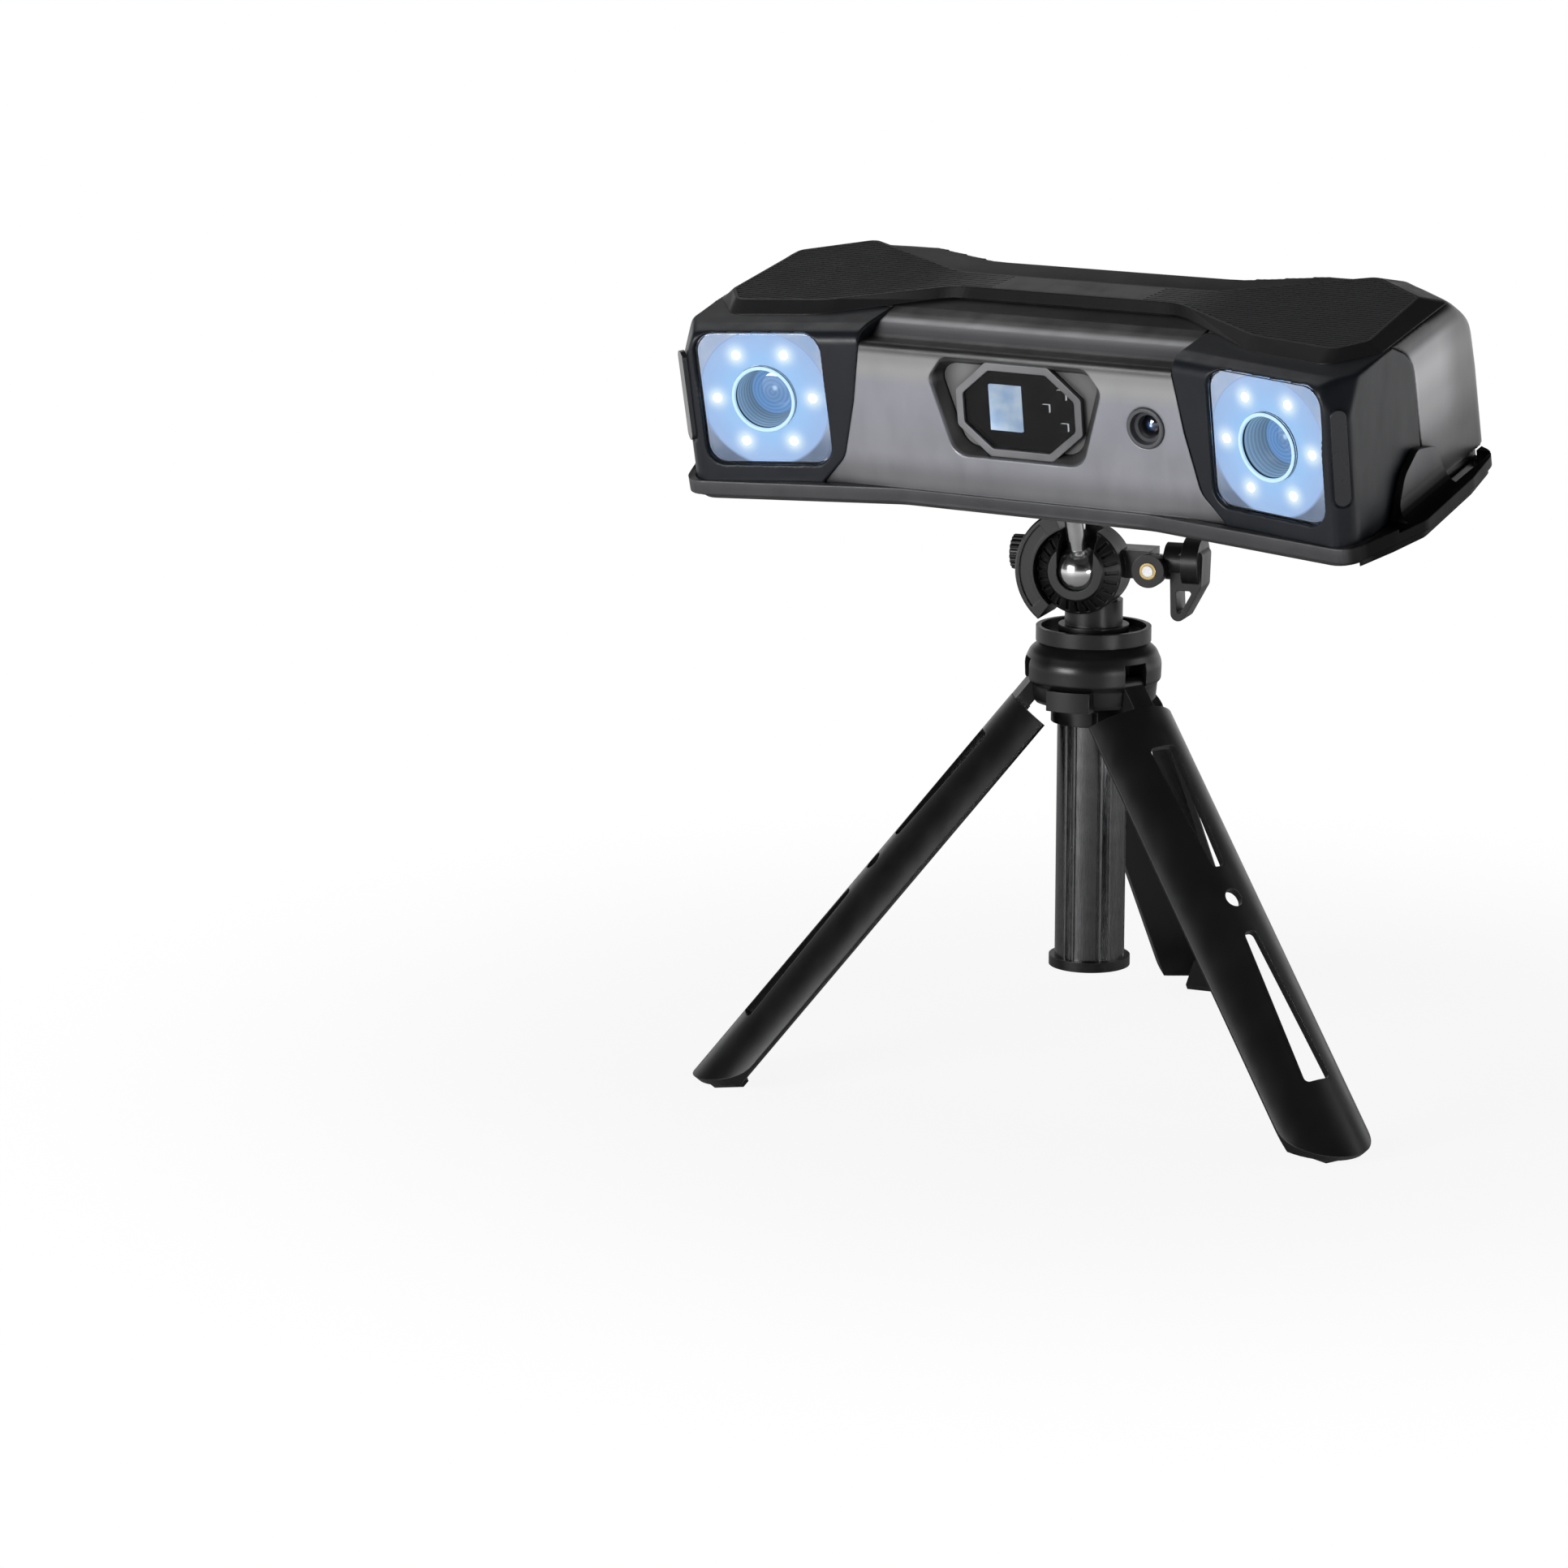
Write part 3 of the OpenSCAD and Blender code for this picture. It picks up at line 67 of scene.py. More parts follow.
# Sizes of the part that the finer pieces repeat, in millimetres and degrees
SCANNER_UP = 39.2
LAMP_AXIS = (113.0, -36.75, 37.8)
PANEL_TOE, PANEL_LEAN = 11.3, 3.3
WINDOW_HALF, WINDOW_R, WINDOW_LOW, WINDOW_TOP = 26.9, 7.9, 0.6, 1.6
BOARD_HALF, BOARD_R, BOARD_T, BOARD_RIM = 26.1, 7.2, 2.0, 0.35
LAMP_COUNT, LAMP_RING, LAMP_R = 6, 20.4, 1.8
BARREL_R, BARREL_L, RIM_TOP = 13.5, 20.0, 2.28
HOLE_R = BARREL_R + 0.12
BAFFLES, BAFFLE_R, BAFFLE_PITCH = 5, 11.9, 1.62
LENS_R, LENS_LOW, LENS_TOP = 9.6, -10.0, -7.6
FASCIA_Y, FASCIA_LEAN = 36.4, 6.2
EYE_AT = (57.6, 0.0, 38.5)
HEAD_TURN, HEAD_R, FACE_R, FINS = 14.0, 17.5, 11.0, 24

# Slanted corners of the mouldings: a point on them, bearing, steepness, and how far their easing reaches
PANEL_SLANT = ((149, -28, 66.5), -36, 66, 9)
SHELL_SLANT = ((148.5, 47.5, 66.5), 57, 45, 14)

# Places where the scanner's colours and painted shading change, in millimetres: the visor's foot, the recess
# and the depth at which its floor starts, the strap loops, and the round edge of a reflector's lit field
VISOR_FOOT, RECESS_HALF, FLOOR_DEPTH = 57.0, 36.0, 3.1
LOOP_FROM, LOOP_TOP = 150.0, 6.0
FIELD_R = 27.4

# Grains of the surfaces, in metres
GRAIN, SMEAR, CLOUD = 0.3 * MM, 8 * MM, 26 * MM

# Meshes: points round a ring, the angle that keeps an edge sharp, how a new skin is first eased, and the share
# of its faces that is kept
RING_STEPS, CREASE = 128, 30
SETTLE_PASSES, SETTLE_SHARE, SKIN_KEEP = 4, 0.25, 0.3

# Frames of the stand and of the scanner, read from the joints
AXIS = Vector(JOINTS["head_pan"]["pos_m"]).to_2d().to_3d()
BALL = Vector(JOINTS["ball_tilt"]["pos_m"])
STEM = Vector(JOINTS["scanner_swivel"]["axis"]).normalized()


def shift(x, y, z):
    """A move in millimetres."""
    return Matrix.Translation(Vector((x, y, z)) * MM)


def turn(degrees, axis):
    return Matrix.Rotation(radians(degrees), 4, axis)


def scanner_frame():
    """The scanner's own frame: x along its length, z out of its top, origin on its base line."""
    x = Vector((1, 0, 0))
    y = STEM.cross(x).normalized()
    m = Matrix((x, y, STEM)).transposed().to_4x4()
    return Matrix.Translation(BALL + STEM * SCANNER_UP * MM) @ m


def panel_frame(side):
    """The frame of a lamp window: origin on the lens axis at the window's back, -y looking out."""
    x, y, z = LAMP_AXIS
    return SCANNER @ shift(side * x, y, z) @ turn(-side * PANEL_TOE, "Z") @ turn(-PANEL_LEAN, "X")


SCANNER = scanner_frame()
FASCIA = SCANNER @ shift(0, -FASCIA_Y, 0) @ turn(-FASCIA_LEAN, "X")
EYE = FASCIA @ shift(*EYE_AT)


class Nodes:
    """A node tree in the making."""

    def __init__(self, tree):
        self.nodes = tree.nodes
        self.links = tree.links

    def add(self, kind, inputs=(), **settings):
        """A node with its inputs set: a socket is linked, anything else is a value."""
        node = self.nodes.new("ShaderNode" + kind)
        for key, value in settings.items():
            setattr(node, key, value)
        for key, value in dict(inputs).items():
            self.put(node.inputs[key], value)
        return node

    def put(self, socket, value):
        if isinstance(value, bpy.types.NodeSocket):
            self.links.new(value, socket)
        else:
            socket.default_value = value

    def spread(self, value, low, high, start=0.3, end=0.7, smooth=False):
        """A factor taken from one range to another."""
        return self.add("MapRange", {"Value": value, "From Min": start, "From Max": end, "To Min": low,
                                     "To Max": high},
                        interpolation_type="SMOOTHSTEP" if smooth else "LINEAR").outputs["Result"]

    def math(self, operation, a, b=0.0, c=0.0):
        return self.add("Math", {0: a, 1: b, 2: c}, operation=operation).outputs[0]

    def dot(self, a, b):
        return self.add("VectorMath", {0: a, 1: b}, operation="DOT_PRODUCT").outputs["Value"]

    def length(self, a, b):
        """How far a point lies from an axis, by its two offsets."""
        squares = self.math("ADD", self.math("MULTIPLY", a, a), self.math("MULTIPLY", b, b))
        return self.math("SQRT", squares)

    def split(self, vector):
        return self.add("SeparateXYZ", {"Vector": vector}).outputs


class Paint(Nodes):
    """A node material in the making, around one principled shader."""

    def __init__(self, name):
        self.material = bpy.data.materials.new(name)
        self.material.use_nodes = True
        super().__init__(self.material.node_tree)
        self.shader = self.nodes["Principled BSDF"]

    def set(self, **inputs):
        """Inputs of the shader, with an underscore for each space in their names."""
        for key, value in inputs.items():
            self.put(self.shader.inputs[key.replace("_", " ")], value)

    def where(self):
        """A point's place in the object's frame, in metres."""
        return self.add("TexCoord").outputs["Object"]

    def place(self, frame_of):
        """A point's x, y and z in a frame of the scanner, in metres."""
        return self.split(self.add("Mapping", {"Vector": self.where(), "Location": frame_of.translation,
                                               "Rotation": frame_of.to_euler()},
                                   vector_type="TEXTURE").outputs["Vector"])

    def noise(self, size, detail, stretch=None):
        """Noise whose grains measure about size metres."""
        place = self.where()
        if stretch:
            place = self.add("Mapping", {"Vector": place, "Scale": stretch}).outputs["Vector"]
        return self.add("TexNoise", {"Vector": place, "Scale": 1 / size, "Detail": detail}).outputs["Fac"]

    def moulding(self):
        """The noises of a moulded surface: its fine grain, smears in its gloss and broad clouds."""
        return self.noise(GRAIN, 2), self.noise(SMEAR, 5, (1, 1, 0.35)), self.noise(CLOUD, 4)

    def wipes(self):
        """Wipe marks on glass."""
        return self.noise(9 * MM, 5, (1, 1, 4))

    def mix(self, factor, a, b):
        """A colour from a to b."""
        node = self.add("Mix", data_type="RGBA")
        self.put(node.inputs["Factor"], factor)
        self.put(node.inputs[6], a)
        self.put(node.inputs[7], b)
        return node.outputs[2]

    def ramp(self, value, stops):
        """Colours blended softly along a length, from (millimetres, colour) stops."""
        start, end = stops[0][0], stops[-1][0]
        place = self.spread(value, 0, 1, start * MM, end * MM)
        node = self.add("ValToRGB", {"Fac": place})
        bands = node.color_ramp
        bands.interpolation = "EASE"
        bands.elements.remove(bands.elements[1])
        bands.elements[0].color = stops[0][1]
        for at, colour in stops[1:]:
            bands.elements.new((at - start) / (end - start)).color = colour
        return node.outputs["Color"]

    def rounded(self, radius, samples=4):
        """Normals that turn softly over the piece's edges."""
        return self.add("Bevel", {"Radius": radius}, samples=samples).outputs["Normal"]

    def edges(self, radius):
        """1 on the piece's edges, 0 on its faces."""
        flat = self.add("NewGeometry").outputs["Normal"]
        return self.spread(self.dot(self.rounded(radius), flat), 1, 0, 0.8, 0.97)

    def facing(self, way):
        """How far the piece's own surface faces a way, from -1 to 1."""
        return self.dot(self.add("TexCoord").outputs["Normal"], way)

    def shade(self, reach, least):
        """1 in the open, falling to least in nooks of about that reach."""
        nook = self.add("AmbientOcclusion", {"Distance": reach}, samples=8).outputs["AO"]
        return self.spread(nook, least, 1.0, 0.35, 0.95)

    def finish(self, height, depth, edge=0.0):
        """Relief, on normals that turn softly over the piece's edges."""
        inputs = {"Height": height, "Distance": depth, "Strength": 1.0}
        if edge:
            inputs["Normal"] = self.rounded(edge)
        self.set(Normal=self.add("Bump", inputs).outputs["Normal"])


def rgb(r, g=None, b=None):
    return (r, r if g is None else g, r if b is None else b, 1.0)


def times(colour, factor):
    return rgb(*(min(1.0, c * factor) for c in colour[:3]))


def moulded(name, colour, rough, depth=0.01 * MM, coat=0.0, gloss=0.5, edge=0.5 * MM, painted_edge_highlight=0.0):
    """Moulded or painted plastic: a fine grain, uneven gloss, faint clouds and, if asked, paler edges that are a
    painted highlight.
    """
    p = Paint(name)
    fine, smear, cloud = p.moulding()
    tone = p.mix(p.spread(cloud, 0, 1), times(colour, 0.9), times(colour, 1.1))
    tone = p.mix(p.spread(fine, 0, 0.4, 0.55, 0.8), tone, times(colour, 1.5))
    # painted highlight: the edges are made paler, standing in for light caught on them
    if painted_edge_highlight:
        tone = p.mix(p.edges(edge), tone, rgb(painted_edge_highlight))
    p.set(Base_Color=tone, Roughness=p.spread(smear, rough - 0.04, rough + 0.06))
    p.set(Coat_Weight=coat, Coat_Roughness=0.15, Specular_IOR_Level=gloss)
    p.finish(fine, depth, edge)
    return p.material


def metal(name, colour, rough, stretch=(1, 1, 12)):
    """Turned or polished metal: fine lines round the work, a little uneven tarnish."""
    p = Paint(name)
    lines = p.noise(0.35 * MM, 3, stretch)
    tarnish = p.noise(6 * MM, 4)
    p.set(Base_Color=p.mix(p.spread(tarnish, 0, 1), colour, times(colour, 0.82)))
    p.set(Metallic=1.0, Roughness=p.spread(lines, rough * 0.75, rough * 1.3))
    p.finish(lines, 0.004 * MM, 0.25 * MM)
    return p.material


def foot_rubber():
    """Soft rubber: dusty, with a coarse matt grain."""
    p = Paint("foot_rubber")
    grain = p.noise(0.4 * MM, 3)
    dust = p.noise(11 * MM, 6)
    black = rgb(0.014)
    p.set(Base_Color=p.mix(p.spread(dust, 0, 0.5, 0.45, 0.75), black, times(black, 1.8)))
    p.set(Roughness=p.spread(dust, 0.64, 0.82), Specular_IOR_Level=0.35)
    p.finish(grain, 0.03 * MM)
    return p.material


def window_clear():
    """Clear glass with a trace of wipe marks in its gloss."""
    p = Paint("window_clear")
    p.set(Base_Color=rgb(0.97, 0.985, 1.0), IOR=1.4, Transmission_Weight=1.0)
    p.set(Roughness=p.spread(p.wipes(), 0.0, 0.012, 0.5, 0.8))
    return p.material


def window_dark():
    """Tinted glass: what lies behind it shows only faintly."""
    p = Paint("window_dark")
    p.set(Base_Color=rgb(0.0015), Alpha=0.6, Specular_IOR_Level=0.4)
    p.set(Roughness=p.spread(p.wipes(), 0.06, 0.11))
    return p.material


def shell_grey(name, rough, painted_shading):
    """The shells' metal-flake grey, with painted light and shade graded over the scanner and painted shade in its
    nooks; black on the strap loops.
    """
    p = Paint(name)
    x, y, z = p.place(SCANNER)
    fine, smear, cloud = p.moulding()
    # painted light and shade, graded over the scanner
    tone = painted_shading(p, x, y, z)
    tone = p.mix(p.spread(cloud, 0, 0.06), tone, rgb(0.5))
    tone = p.mix(p.spread(fine, 0, 0.05, 0.55, 0.8), tone, rgb(0.45))
    # painted shade: darker in the nooks
    tone = p.mix(p.shade(16 * MM, 0.15), rgb(0.012), tone)
    outer = p.spread(p.math("ABSOLUTE", x), 0, 1, LOOP_FROM * MM, (LOOP_FROM + 2.5) * MM, True)
    loop = p.math("MULTIPLY", outer, p.spread(z, 1, 0, LOOP_TOP * MM, 2 * LOOP_TOP * MM, True))
    p.set(Base_Color=p.mix(loop, tone, rgb(0.004)), Metallic=p.spread(loop, 0.65, 0.0, 0, 1))
    p.set(Roughness=p.spread(smear, rough - 0.05, rough + 0.05))
    p.set(Specular_IOR_Level=p.spread(loop, 0.25, 0.06, 0, 1))
    p.finish(fine, 0.004 * MM, 0.9 * MM)
    return p.material


def fascia_painted_shading(p, x, y, z):
    """Painted shade down the tray, round a painted highlight on the visor's crest, in the recess and over the
    strap loops.
    """
    across = p.math("ABSOLUTE", x)
    # painted light and shade: the face is brightest near its top and darkens down to the tray
    face = p.ramp(z, [(-8, rgb(0.05)), (1, rgb(0.075, 0.075, 0.08)), (9, rgb(0.16, 0.16, 0.17)),
                      (20, rgb(0.255, 0.257, 0.283)), (45, rgb(0.262, 0.266, 0.3)), (52, rgb(0.3)),
                      (VISOR_FOOT, rgb(0.25))])
    # painted shade across the visor, round a painted highlight on its crest
    visor = p.ramp(y, [(-31, rgb(0.08)), (-28, rgb(0.02)), (-22, rgb(0.012)), (-17, rgb(0.16, 0.16, 0.17)),
                       (-12, rgb(0.37, 0.37, 0.39)), (-8, rgb(0.06)), (-5, rgb(0.005))])
    tone = p.mix(p.spread(z, 0, 1, VISOR_FOOT * MM, (VISOR_FOOT + 3) * MM, True), face, visor)
    # painted shade on the recess walls: darkest on the left, lighter to the right
    wall = p.ramp(x, [(-39, rgb(0.03)), (-30, rgb(0.1)), (-10, rgb(0.08)), (34, rgb(0.13))])
    depth = p.place(FASCIA)[1]
    sunk = p.math("MULTIPLY", p.spread(depth, 0, 1, 0.5 * MM, 1.4 * MM, True),
                  p.spread(across, 1, 0, RECESS_HALF * MM, (RECESS_HALF + 4) * MM))
    sunk = p.math("MULTIPLY", sunk, p.spread(z, 1, 0, (VISOR_FOOT - 1) * MM, VISOR_FOOT * MM))
    tone = p.mix(sunk, tone, wall)
    # painted shade over the strap loops, darkest low down
    loop = p.ramp(z, [(1, rgb(0.006)), (30, rgb(0.13, 0.128, 0.138))])
    outer = p.spread(across, 0, 1, (LOOP_FROM - 4) * MM, (LOOP_FROM - 0.5) * MM, True)
    return p.mix(outer, tone, loop)


def rear_painted_shading(p, x, y, z):
    """Painted light and shade: brightest at half height, darker to the base, under the cover and round to the
    back.
    """
    side = p.ramp(z, [(2, rgb(0.06)), (16, rgb(0.11, 0.11, 0.115)), (36, rgb(0.32, 0.318, 0.328)),
                      (48, rgb(0.43, 0.425, 0.438)), (56, rgb(0.34, 0.338, 0.35)),
                      (61, rgb(0.1, 0.1, 0.105)), (66, rgb(0.02))])
    return p.mix(p.spread(y, 0, 0.6, 32 * MM, 50 * MM, True), side, rgb(0.07))


def bezel_grey():
    """The projector frame's grey: pale on its front with painted shade to its right, and a sunk floor round it in
    painted shade, darkest in its nooks.
    """
    p = Paint("bezel_grey")
    x, depth, _ = p.place(FASCIA)
    fine = p.noise(GRAIN, 2)
    smear = p.noise(SMEAR, 5)
    # painted light and shade across the sunk floor, then painted shade in its nooks
    sunk = p.ramp(x, [(-36, rgb(0.05)), (-24, rgb(0.2)), (0, rgb(0.1)), (30, rgb(0.13))])
    sunk = p.mix(p.shade(5 * MM, 0.2), rgb(0.01), sunk)
    front = p.mix(p.spread(smear, 0, 1), rgb(0.2, 0.2, 0.21), rgb(0.22, 0.22, 0.23))
    # painted shade: the front grows darker to the right
    front = p.mix(p.spread(x, 0, 0.45, -16 * MM, 24 * MM), front, rgb(0.06))
    low = p.spread(depth, 0, 1, FLOOR_DEPTH * MM, (FLOOR_DEPTH + 1.2) * MM, True)
    p.set(Base_Color=p.mix(low, front, sunk), Metallic=0.4, Roughness=p.spread(smear, 0.3, 0.4))
    p.finish(fine, 0.005 * MM, 0.6 * MM)
    return p.material


def cover_charcoal():
    """The top cover's charcoal: a painted highlight paler in the middle of its length, painted shade where it
    turns down to the front.
    """
    p = Paint("cover_charcoal")
    x, _, _ = p.place(SCANNER)
    fine, smear, cloud = p.moulding()
    # painted highlight along the middle of the length
    lit_middle = p.spread(p.math("ABSOLUTE", x), 1, 0, 45 * MM, 85 * MM, True)
    top = p.mix(lit_middle, rgb(0.017, 0.017, 0.019), rgb(0.05, 0.05, 0.052))
    # painted shade on faces turned to the front, with less gloss there
    front = p.spread(p.facing((0, -1, 0)), 0, 1, 0.25, 0.55, True)
    down = p.math("MULTIPLY", front, p.spread(lit_middle, 0.3, 1, 0, 1))
    tone = p.mix(down, top, rgb(0.004))
    tone = p.mix(p.spread(cloud, 0, 0.15), tone, rgb(0.03))
    p.set(Base_Color=p.mix(p.spread(fine, 0, 0.2, 0.55, 0.8), tone, rgb(0.03)))
    p.set(Roughness=p.spread(smear, 0.38, 0.48), Specular_IOR_Level=p.spread(down, 0.4, 0.1, 0, 1))
    p.finish(fine, 0.01 * MM, 0.6 * MM)
    return p.material


def grip_rubber():
    """The grip's rubber: dusty, with a painted highlight over the middle of its ribs and plate and painted shade
    black between the ribs.
    """
    p = Paint("grip_rubber")
    x, _, _ = p.place(SCANNER)
    dust = p.noise(11 * MM, 6)
    grain = p.noise(0.4 * MM, 3)
    # painted highlight over the middle of the length
    lit_middle = p.spread(p.math("ABSOLUTE", x), 1, 0, 30 * MM, 75 * MM, True)
    crest = p.mix(lit_middle, rgb(0.045, 0.045, 0.049), rgb(0.16, 0.16, 0.165))
    crest = p.mix(p.spread(dust, 0, 0.3, 0.45, 0.75), crest, rgb(0.06))
    # painted shade: black in the grooves between the ribs
    p.set(Base_Color=p.mix(p.shade(1.2 * MM, 0.0), rgb(0.003), crest))
    p.set(Roughness=p.spread(dust, 0.6, 0.78), Specular_IOR_Level=0.3)
    p.finish(grain, 0.03 * MM)
    return p.material


def sensor_glass():
    """A small sensor's dark glass, with a painted glint glowing on its upper right edges."""
    p = Paint("sensor_glass")
    # painted highlight: edges facing up and to the right glow
    painted_edge_glint = p.dot(p.rounded(0.45 * MM, 6), (0.75, 0.0, 0.66))
    grain = p.noise(0.5 * MM, 2)
    p.set(Base_Color=rgb(0.004), Roughness=p.spread(grain, 0.06, 0.12), Emission_Color=rgb(0.9, 0.95, 1.0))
    p.set(Emission_Strength=p.spread(painted_edge_glint, 0.0, 3.0, 0.35, 0.7, True))
    return p.material


def lamp_distance(p, x, z, radius):
    """How far a point of the board lies from the nearest lamp of the ring, by the law of cosines."""
    half = pi / LAMP_COUNT
    sector = p.math("WRAP", p.math("ARCTAN2", z, x), half, -half)
    reach = p.math("MULTIPLY", p.math("COSINE", sector), 2 * LAMP_RING * MM)
    inner = p.math("MULTIPLY", radius, p.math("SUBTRACT", radius, reach))
    square = p.math("ADD", inner, (LAMP_RING * MM) ** 2)
    return p.math("SQRT", p.math("MAXIMUM", square, 0.0))


def lit_board():
    """The reflector behind a lamp window, glowing with painted lamp light: blue by the lens, paler past a round
    edge with painted shade low there, white in a painted halo by each lamp.
    """
    p = Paint("lamp_white")
    x, _, z = p.split(p.where())
    radius = p.length(x, z)
    cloud = p.noise(14 * MM, 4)
    inner = p.mix(p.spread(radius, 0, 1, 15 * MM, 27 * MM), rgb(0.27, 0.52, 0.87), rgb(0.28, 0.44, 0.74))
    pale = p.mix(p.spread(cloud, 0, 1, 0.35, 0.65), rgb(0.24, 0.36, 0.58), rgb(0.42, 0.46, 0.58))
    # painted shade: past the round edge the glow darkens low down
    outer = p.mix(p.spread(z, 0, 1, -24 * MM, -4 * MM, True), rgb(0.05, 0.085, 0.16), pale)
    past = p.spread(radius, 0, 1, (FIELD_R - 0.2) * MM, (FIELD_R + 0.8) * MM, True)
    edge = p.math("COMPARE", radius, FIELD_R * MM, 0.25 * MM)
    # painted light: a white halo round each lamp
    painted_halo = p.math("POWER", p.spread(lamp_distance(p, x, z, radius), 1, 0, 0.8 * MM, 9 * MM, True), 2.6)
    field = p.mix(past, inner, outer)
    field = p.mix(p.math("MULTIPLY", edge, 0.35), field, rgb(0.1, 0.19, 0.36))
    field = p.mix(p.math("MULTIPLY", painted_halo, 0.92), field, rgb(0.85, 0.98, 1.0))
    field = p.mix(p.spread(cloud, 0, 0.1, 0.4, 0.7), field, rgb(0.5, 0.7, 0.96))
    p.set(Base_Color=rgb(0.03, 0.035, 0.045), Roughness=0.5, Emission_Color=field, Emission_Strength=0.97)
    return p.material


def lit_lamp():
    """A lit lamp, a little uneven over its crown."""
    p = Paint("lamp_lens")
    crown = p.noise(0.8 * MM, 2)
    p.set(Base_Color=rgb(0.9), Roughness=0.2, Emission_Color=rgb(0.92, 0.98, 1.0))
    p.set(Emission_Strength=p.spread(crown, 7.0, 9.0))
    return p.material


def coated_lens():
    """A deep coated lens glowing with painted lamp light: faint rings of the elements behind, a blue coating, a
    painted glint of a lamp in it.
    """
    p = Paint("lens_coated")
    x, _, z = p.split(p.where())
    radius = p.length(x, z)
    ring = p.math("SINE", p.math("MULTIPLY", radius, 2 * pi / (1.7 * MM)))
    tone = p.mix(p.spread(ring, 0, 1, -1, 1), rgb(0.15, 0.27, 0.44), rgb(0.2, 0.355, 0.56))
    # painted reflection: a lamp's glint, glowing as a small spot
    painted_glint = p.length(p.math("SUBTRACT", x, 1.2 * MM), p.math("SUBTRACT", z, 1.6 * MM))
    tone = p.mix(p.spread(painted_glint, 0.9, 0, 0.3 * MM, 1.6 * MM, True), tone, rgb(0.75, 0.9, 1.0))
    p.set(Base_Color=rgb(0.02, 0.04, 0.08), Roughness=0.06, IOR=1.7, Coat_Weight=1.0, Coat_Roughness=0.02)
    p.set(Coat_Tint=rgb(0.75, 0.85, 1.0), Emission_Color=tone)
    p.set(Emission_Strength=p.spread(radius, 0.8, 1.0, 1 * MM, 9 * MM))
    return p.material


def lit_rim():
    """The barrel's pale rim, glowing in the lamps' light."""
    p = Paint("rim_pale")
    grain = p.noise(0.6 * MM, 3)
    p.set(Base_Color=rgb(0.32, 0.38, 0.4), Roughness=p.spread(grain, 0.28, 0.36))
    p.set(Emission_Color=rgb(0.3, 0.5, 0.68), Emission_Strength=p.spread(grain, 1.0, 1.15))
    p.finish(grain, 0.004 * MM, 0.2 * MM)
    return p.material


def hazy_wall():
    """The inside of a lens barrel, with the lamps' light caught in its grooves."""
    p = Paint("barrel_inside")
    _, y, _ = p.split(p.where())
    grain = p.noise(1.5 * MM, 3)
    groove = p.math("SINE", p.math("MULTIPLY", y, 2 * pi / (BAFFLE_PITCH * MM)))
    tone = p.mix(p.spread(groove, 0, 1, -0.6, 0.9), rgb(0.16, 0.28, 0.45), rgb(0.24, 0.42, 0.64))
    p.set(Base_Color=rgb(0.03, 0.035, 0.045), Roughness=p.spread(grain, 0.3, 0.42), Emission_Color=tone)
    p.set(Emission_Strength=p.spread(y, 0.9, 0.5, -2 * MM, 8 * MM))
    return p.material


def small_lens():
    """The colour camera's lens: near black with a tiny blue pupil and a painted glint glowing at its centre."""
    p = Paint("lens_small")
    x, _, z = p.place(EYE)
    radius = p.length(x, z)
    tone = p.mix(p.spread(radius, 0, 1, 0.7 * MM, 2.4 * MM), rgb(0.02, 0.06, 0.16),
                 rgb(0.004, 0.005, 0.008))
    p.set(Base_Color=tone, Roughness=0.05, IOR=1.7, Coat_Weight=1.0, Coat_Roughness=0.02)
    # painted reflection: a glint glowing at the centre
    p.set(Emission_Color=rgb(0.55, 0.7, 0.95))
    p.set(Emission_Strength=p.spread(radius, 1.0, 0.0, 0.3 * MM, 0.8 * MM, True))
    return p.material


def lit_prism():
    """The projector's glass block with its light inside, brightest low on its left."""
    p = Paint("prism_lit")
    x, _, z = p.place(SCANNER)
    cloud = p.noise(5 * MM, 3)
    field = p.mix(p.spread(cloud, 0, 1, 0.35, 0.7), rgb(0.42, 0.6, 0.88), rgb(0.66, 0.82, 1.0))
    slant = p.math("ADD", x, p.math("MULTIPLY", z, 0.6))
    p.set(Base_Color=rgb(0.4, 0.5, 0.65), Roughness=0.12, Emission_Color=field)
    p.set(Emission_Strength=p.spread(slant, 6.5, 3.6, -4 * MM, 16 * MM, True))
    return p.material


# Materials of the slots, of single nodes that differ from their slot, and of a barrel, its rim and its inside
MATERIALS = {
    "grey_shell": shell_grey("grey_shell", 0.36, rear_painted_shading),
    "panel_black": moulded("panel_black", rgb(0.0095, 0.0115, 0.0155), 0.38, depth=0.003 * MM, gloss=0.3),
    "cover_charcoal": cover_charcoal(),
    "grip_rubber": grip_rubber(),
    "window_clear": window_clear(),
    "lamp_white": lit_board(),
    "lamp_lens": lit_lamp(),
    "lens_black": moulded("lens_black", rgb(0.007, 0.0072, 0.008), 0.36, depth=0.003 * MM, edge=0.3 * MM),
    "lens_glass": coated_lens(),
    "strip_black": moulded("strip_black", rgb(0.02, 0.021, 0.025), 0.26, coat=0.3),
    "bezel_grey": bezel_grey(),
    "window_dark": window_dark(),
    "frame_alloy": metal("frame_alloy", rgb(0.6, 0.6, 0.62), 0.4),
    "board_green": moulded("board_green", rgb(0.03, 0.16, 0.07), 0.4),
    "bright_steel": metal("bright_steel", rgb(0.6, 0.6, 0.61), 0.28),
    "ball_chrome": metal("ball_chrome", rgb(0.72, 0.72, 0.73), 0.16),
    "screw_black": metal("screw_black", rgb(0.08, 0.08, 0.085), 0.4),
    "brass": metal("brass", rgb(0.5, 0.36, 0.15), 0.25),
    # the tripod's paler edges are a painted highlight
    "tripod_black": moulded("tripod_black", rgb(0.0055, 0.0054, 0.0057), 0.33, gloss=0.36, painted_edge_highlight=0.045),
    "foot_rubber": foot_rubber(),
}
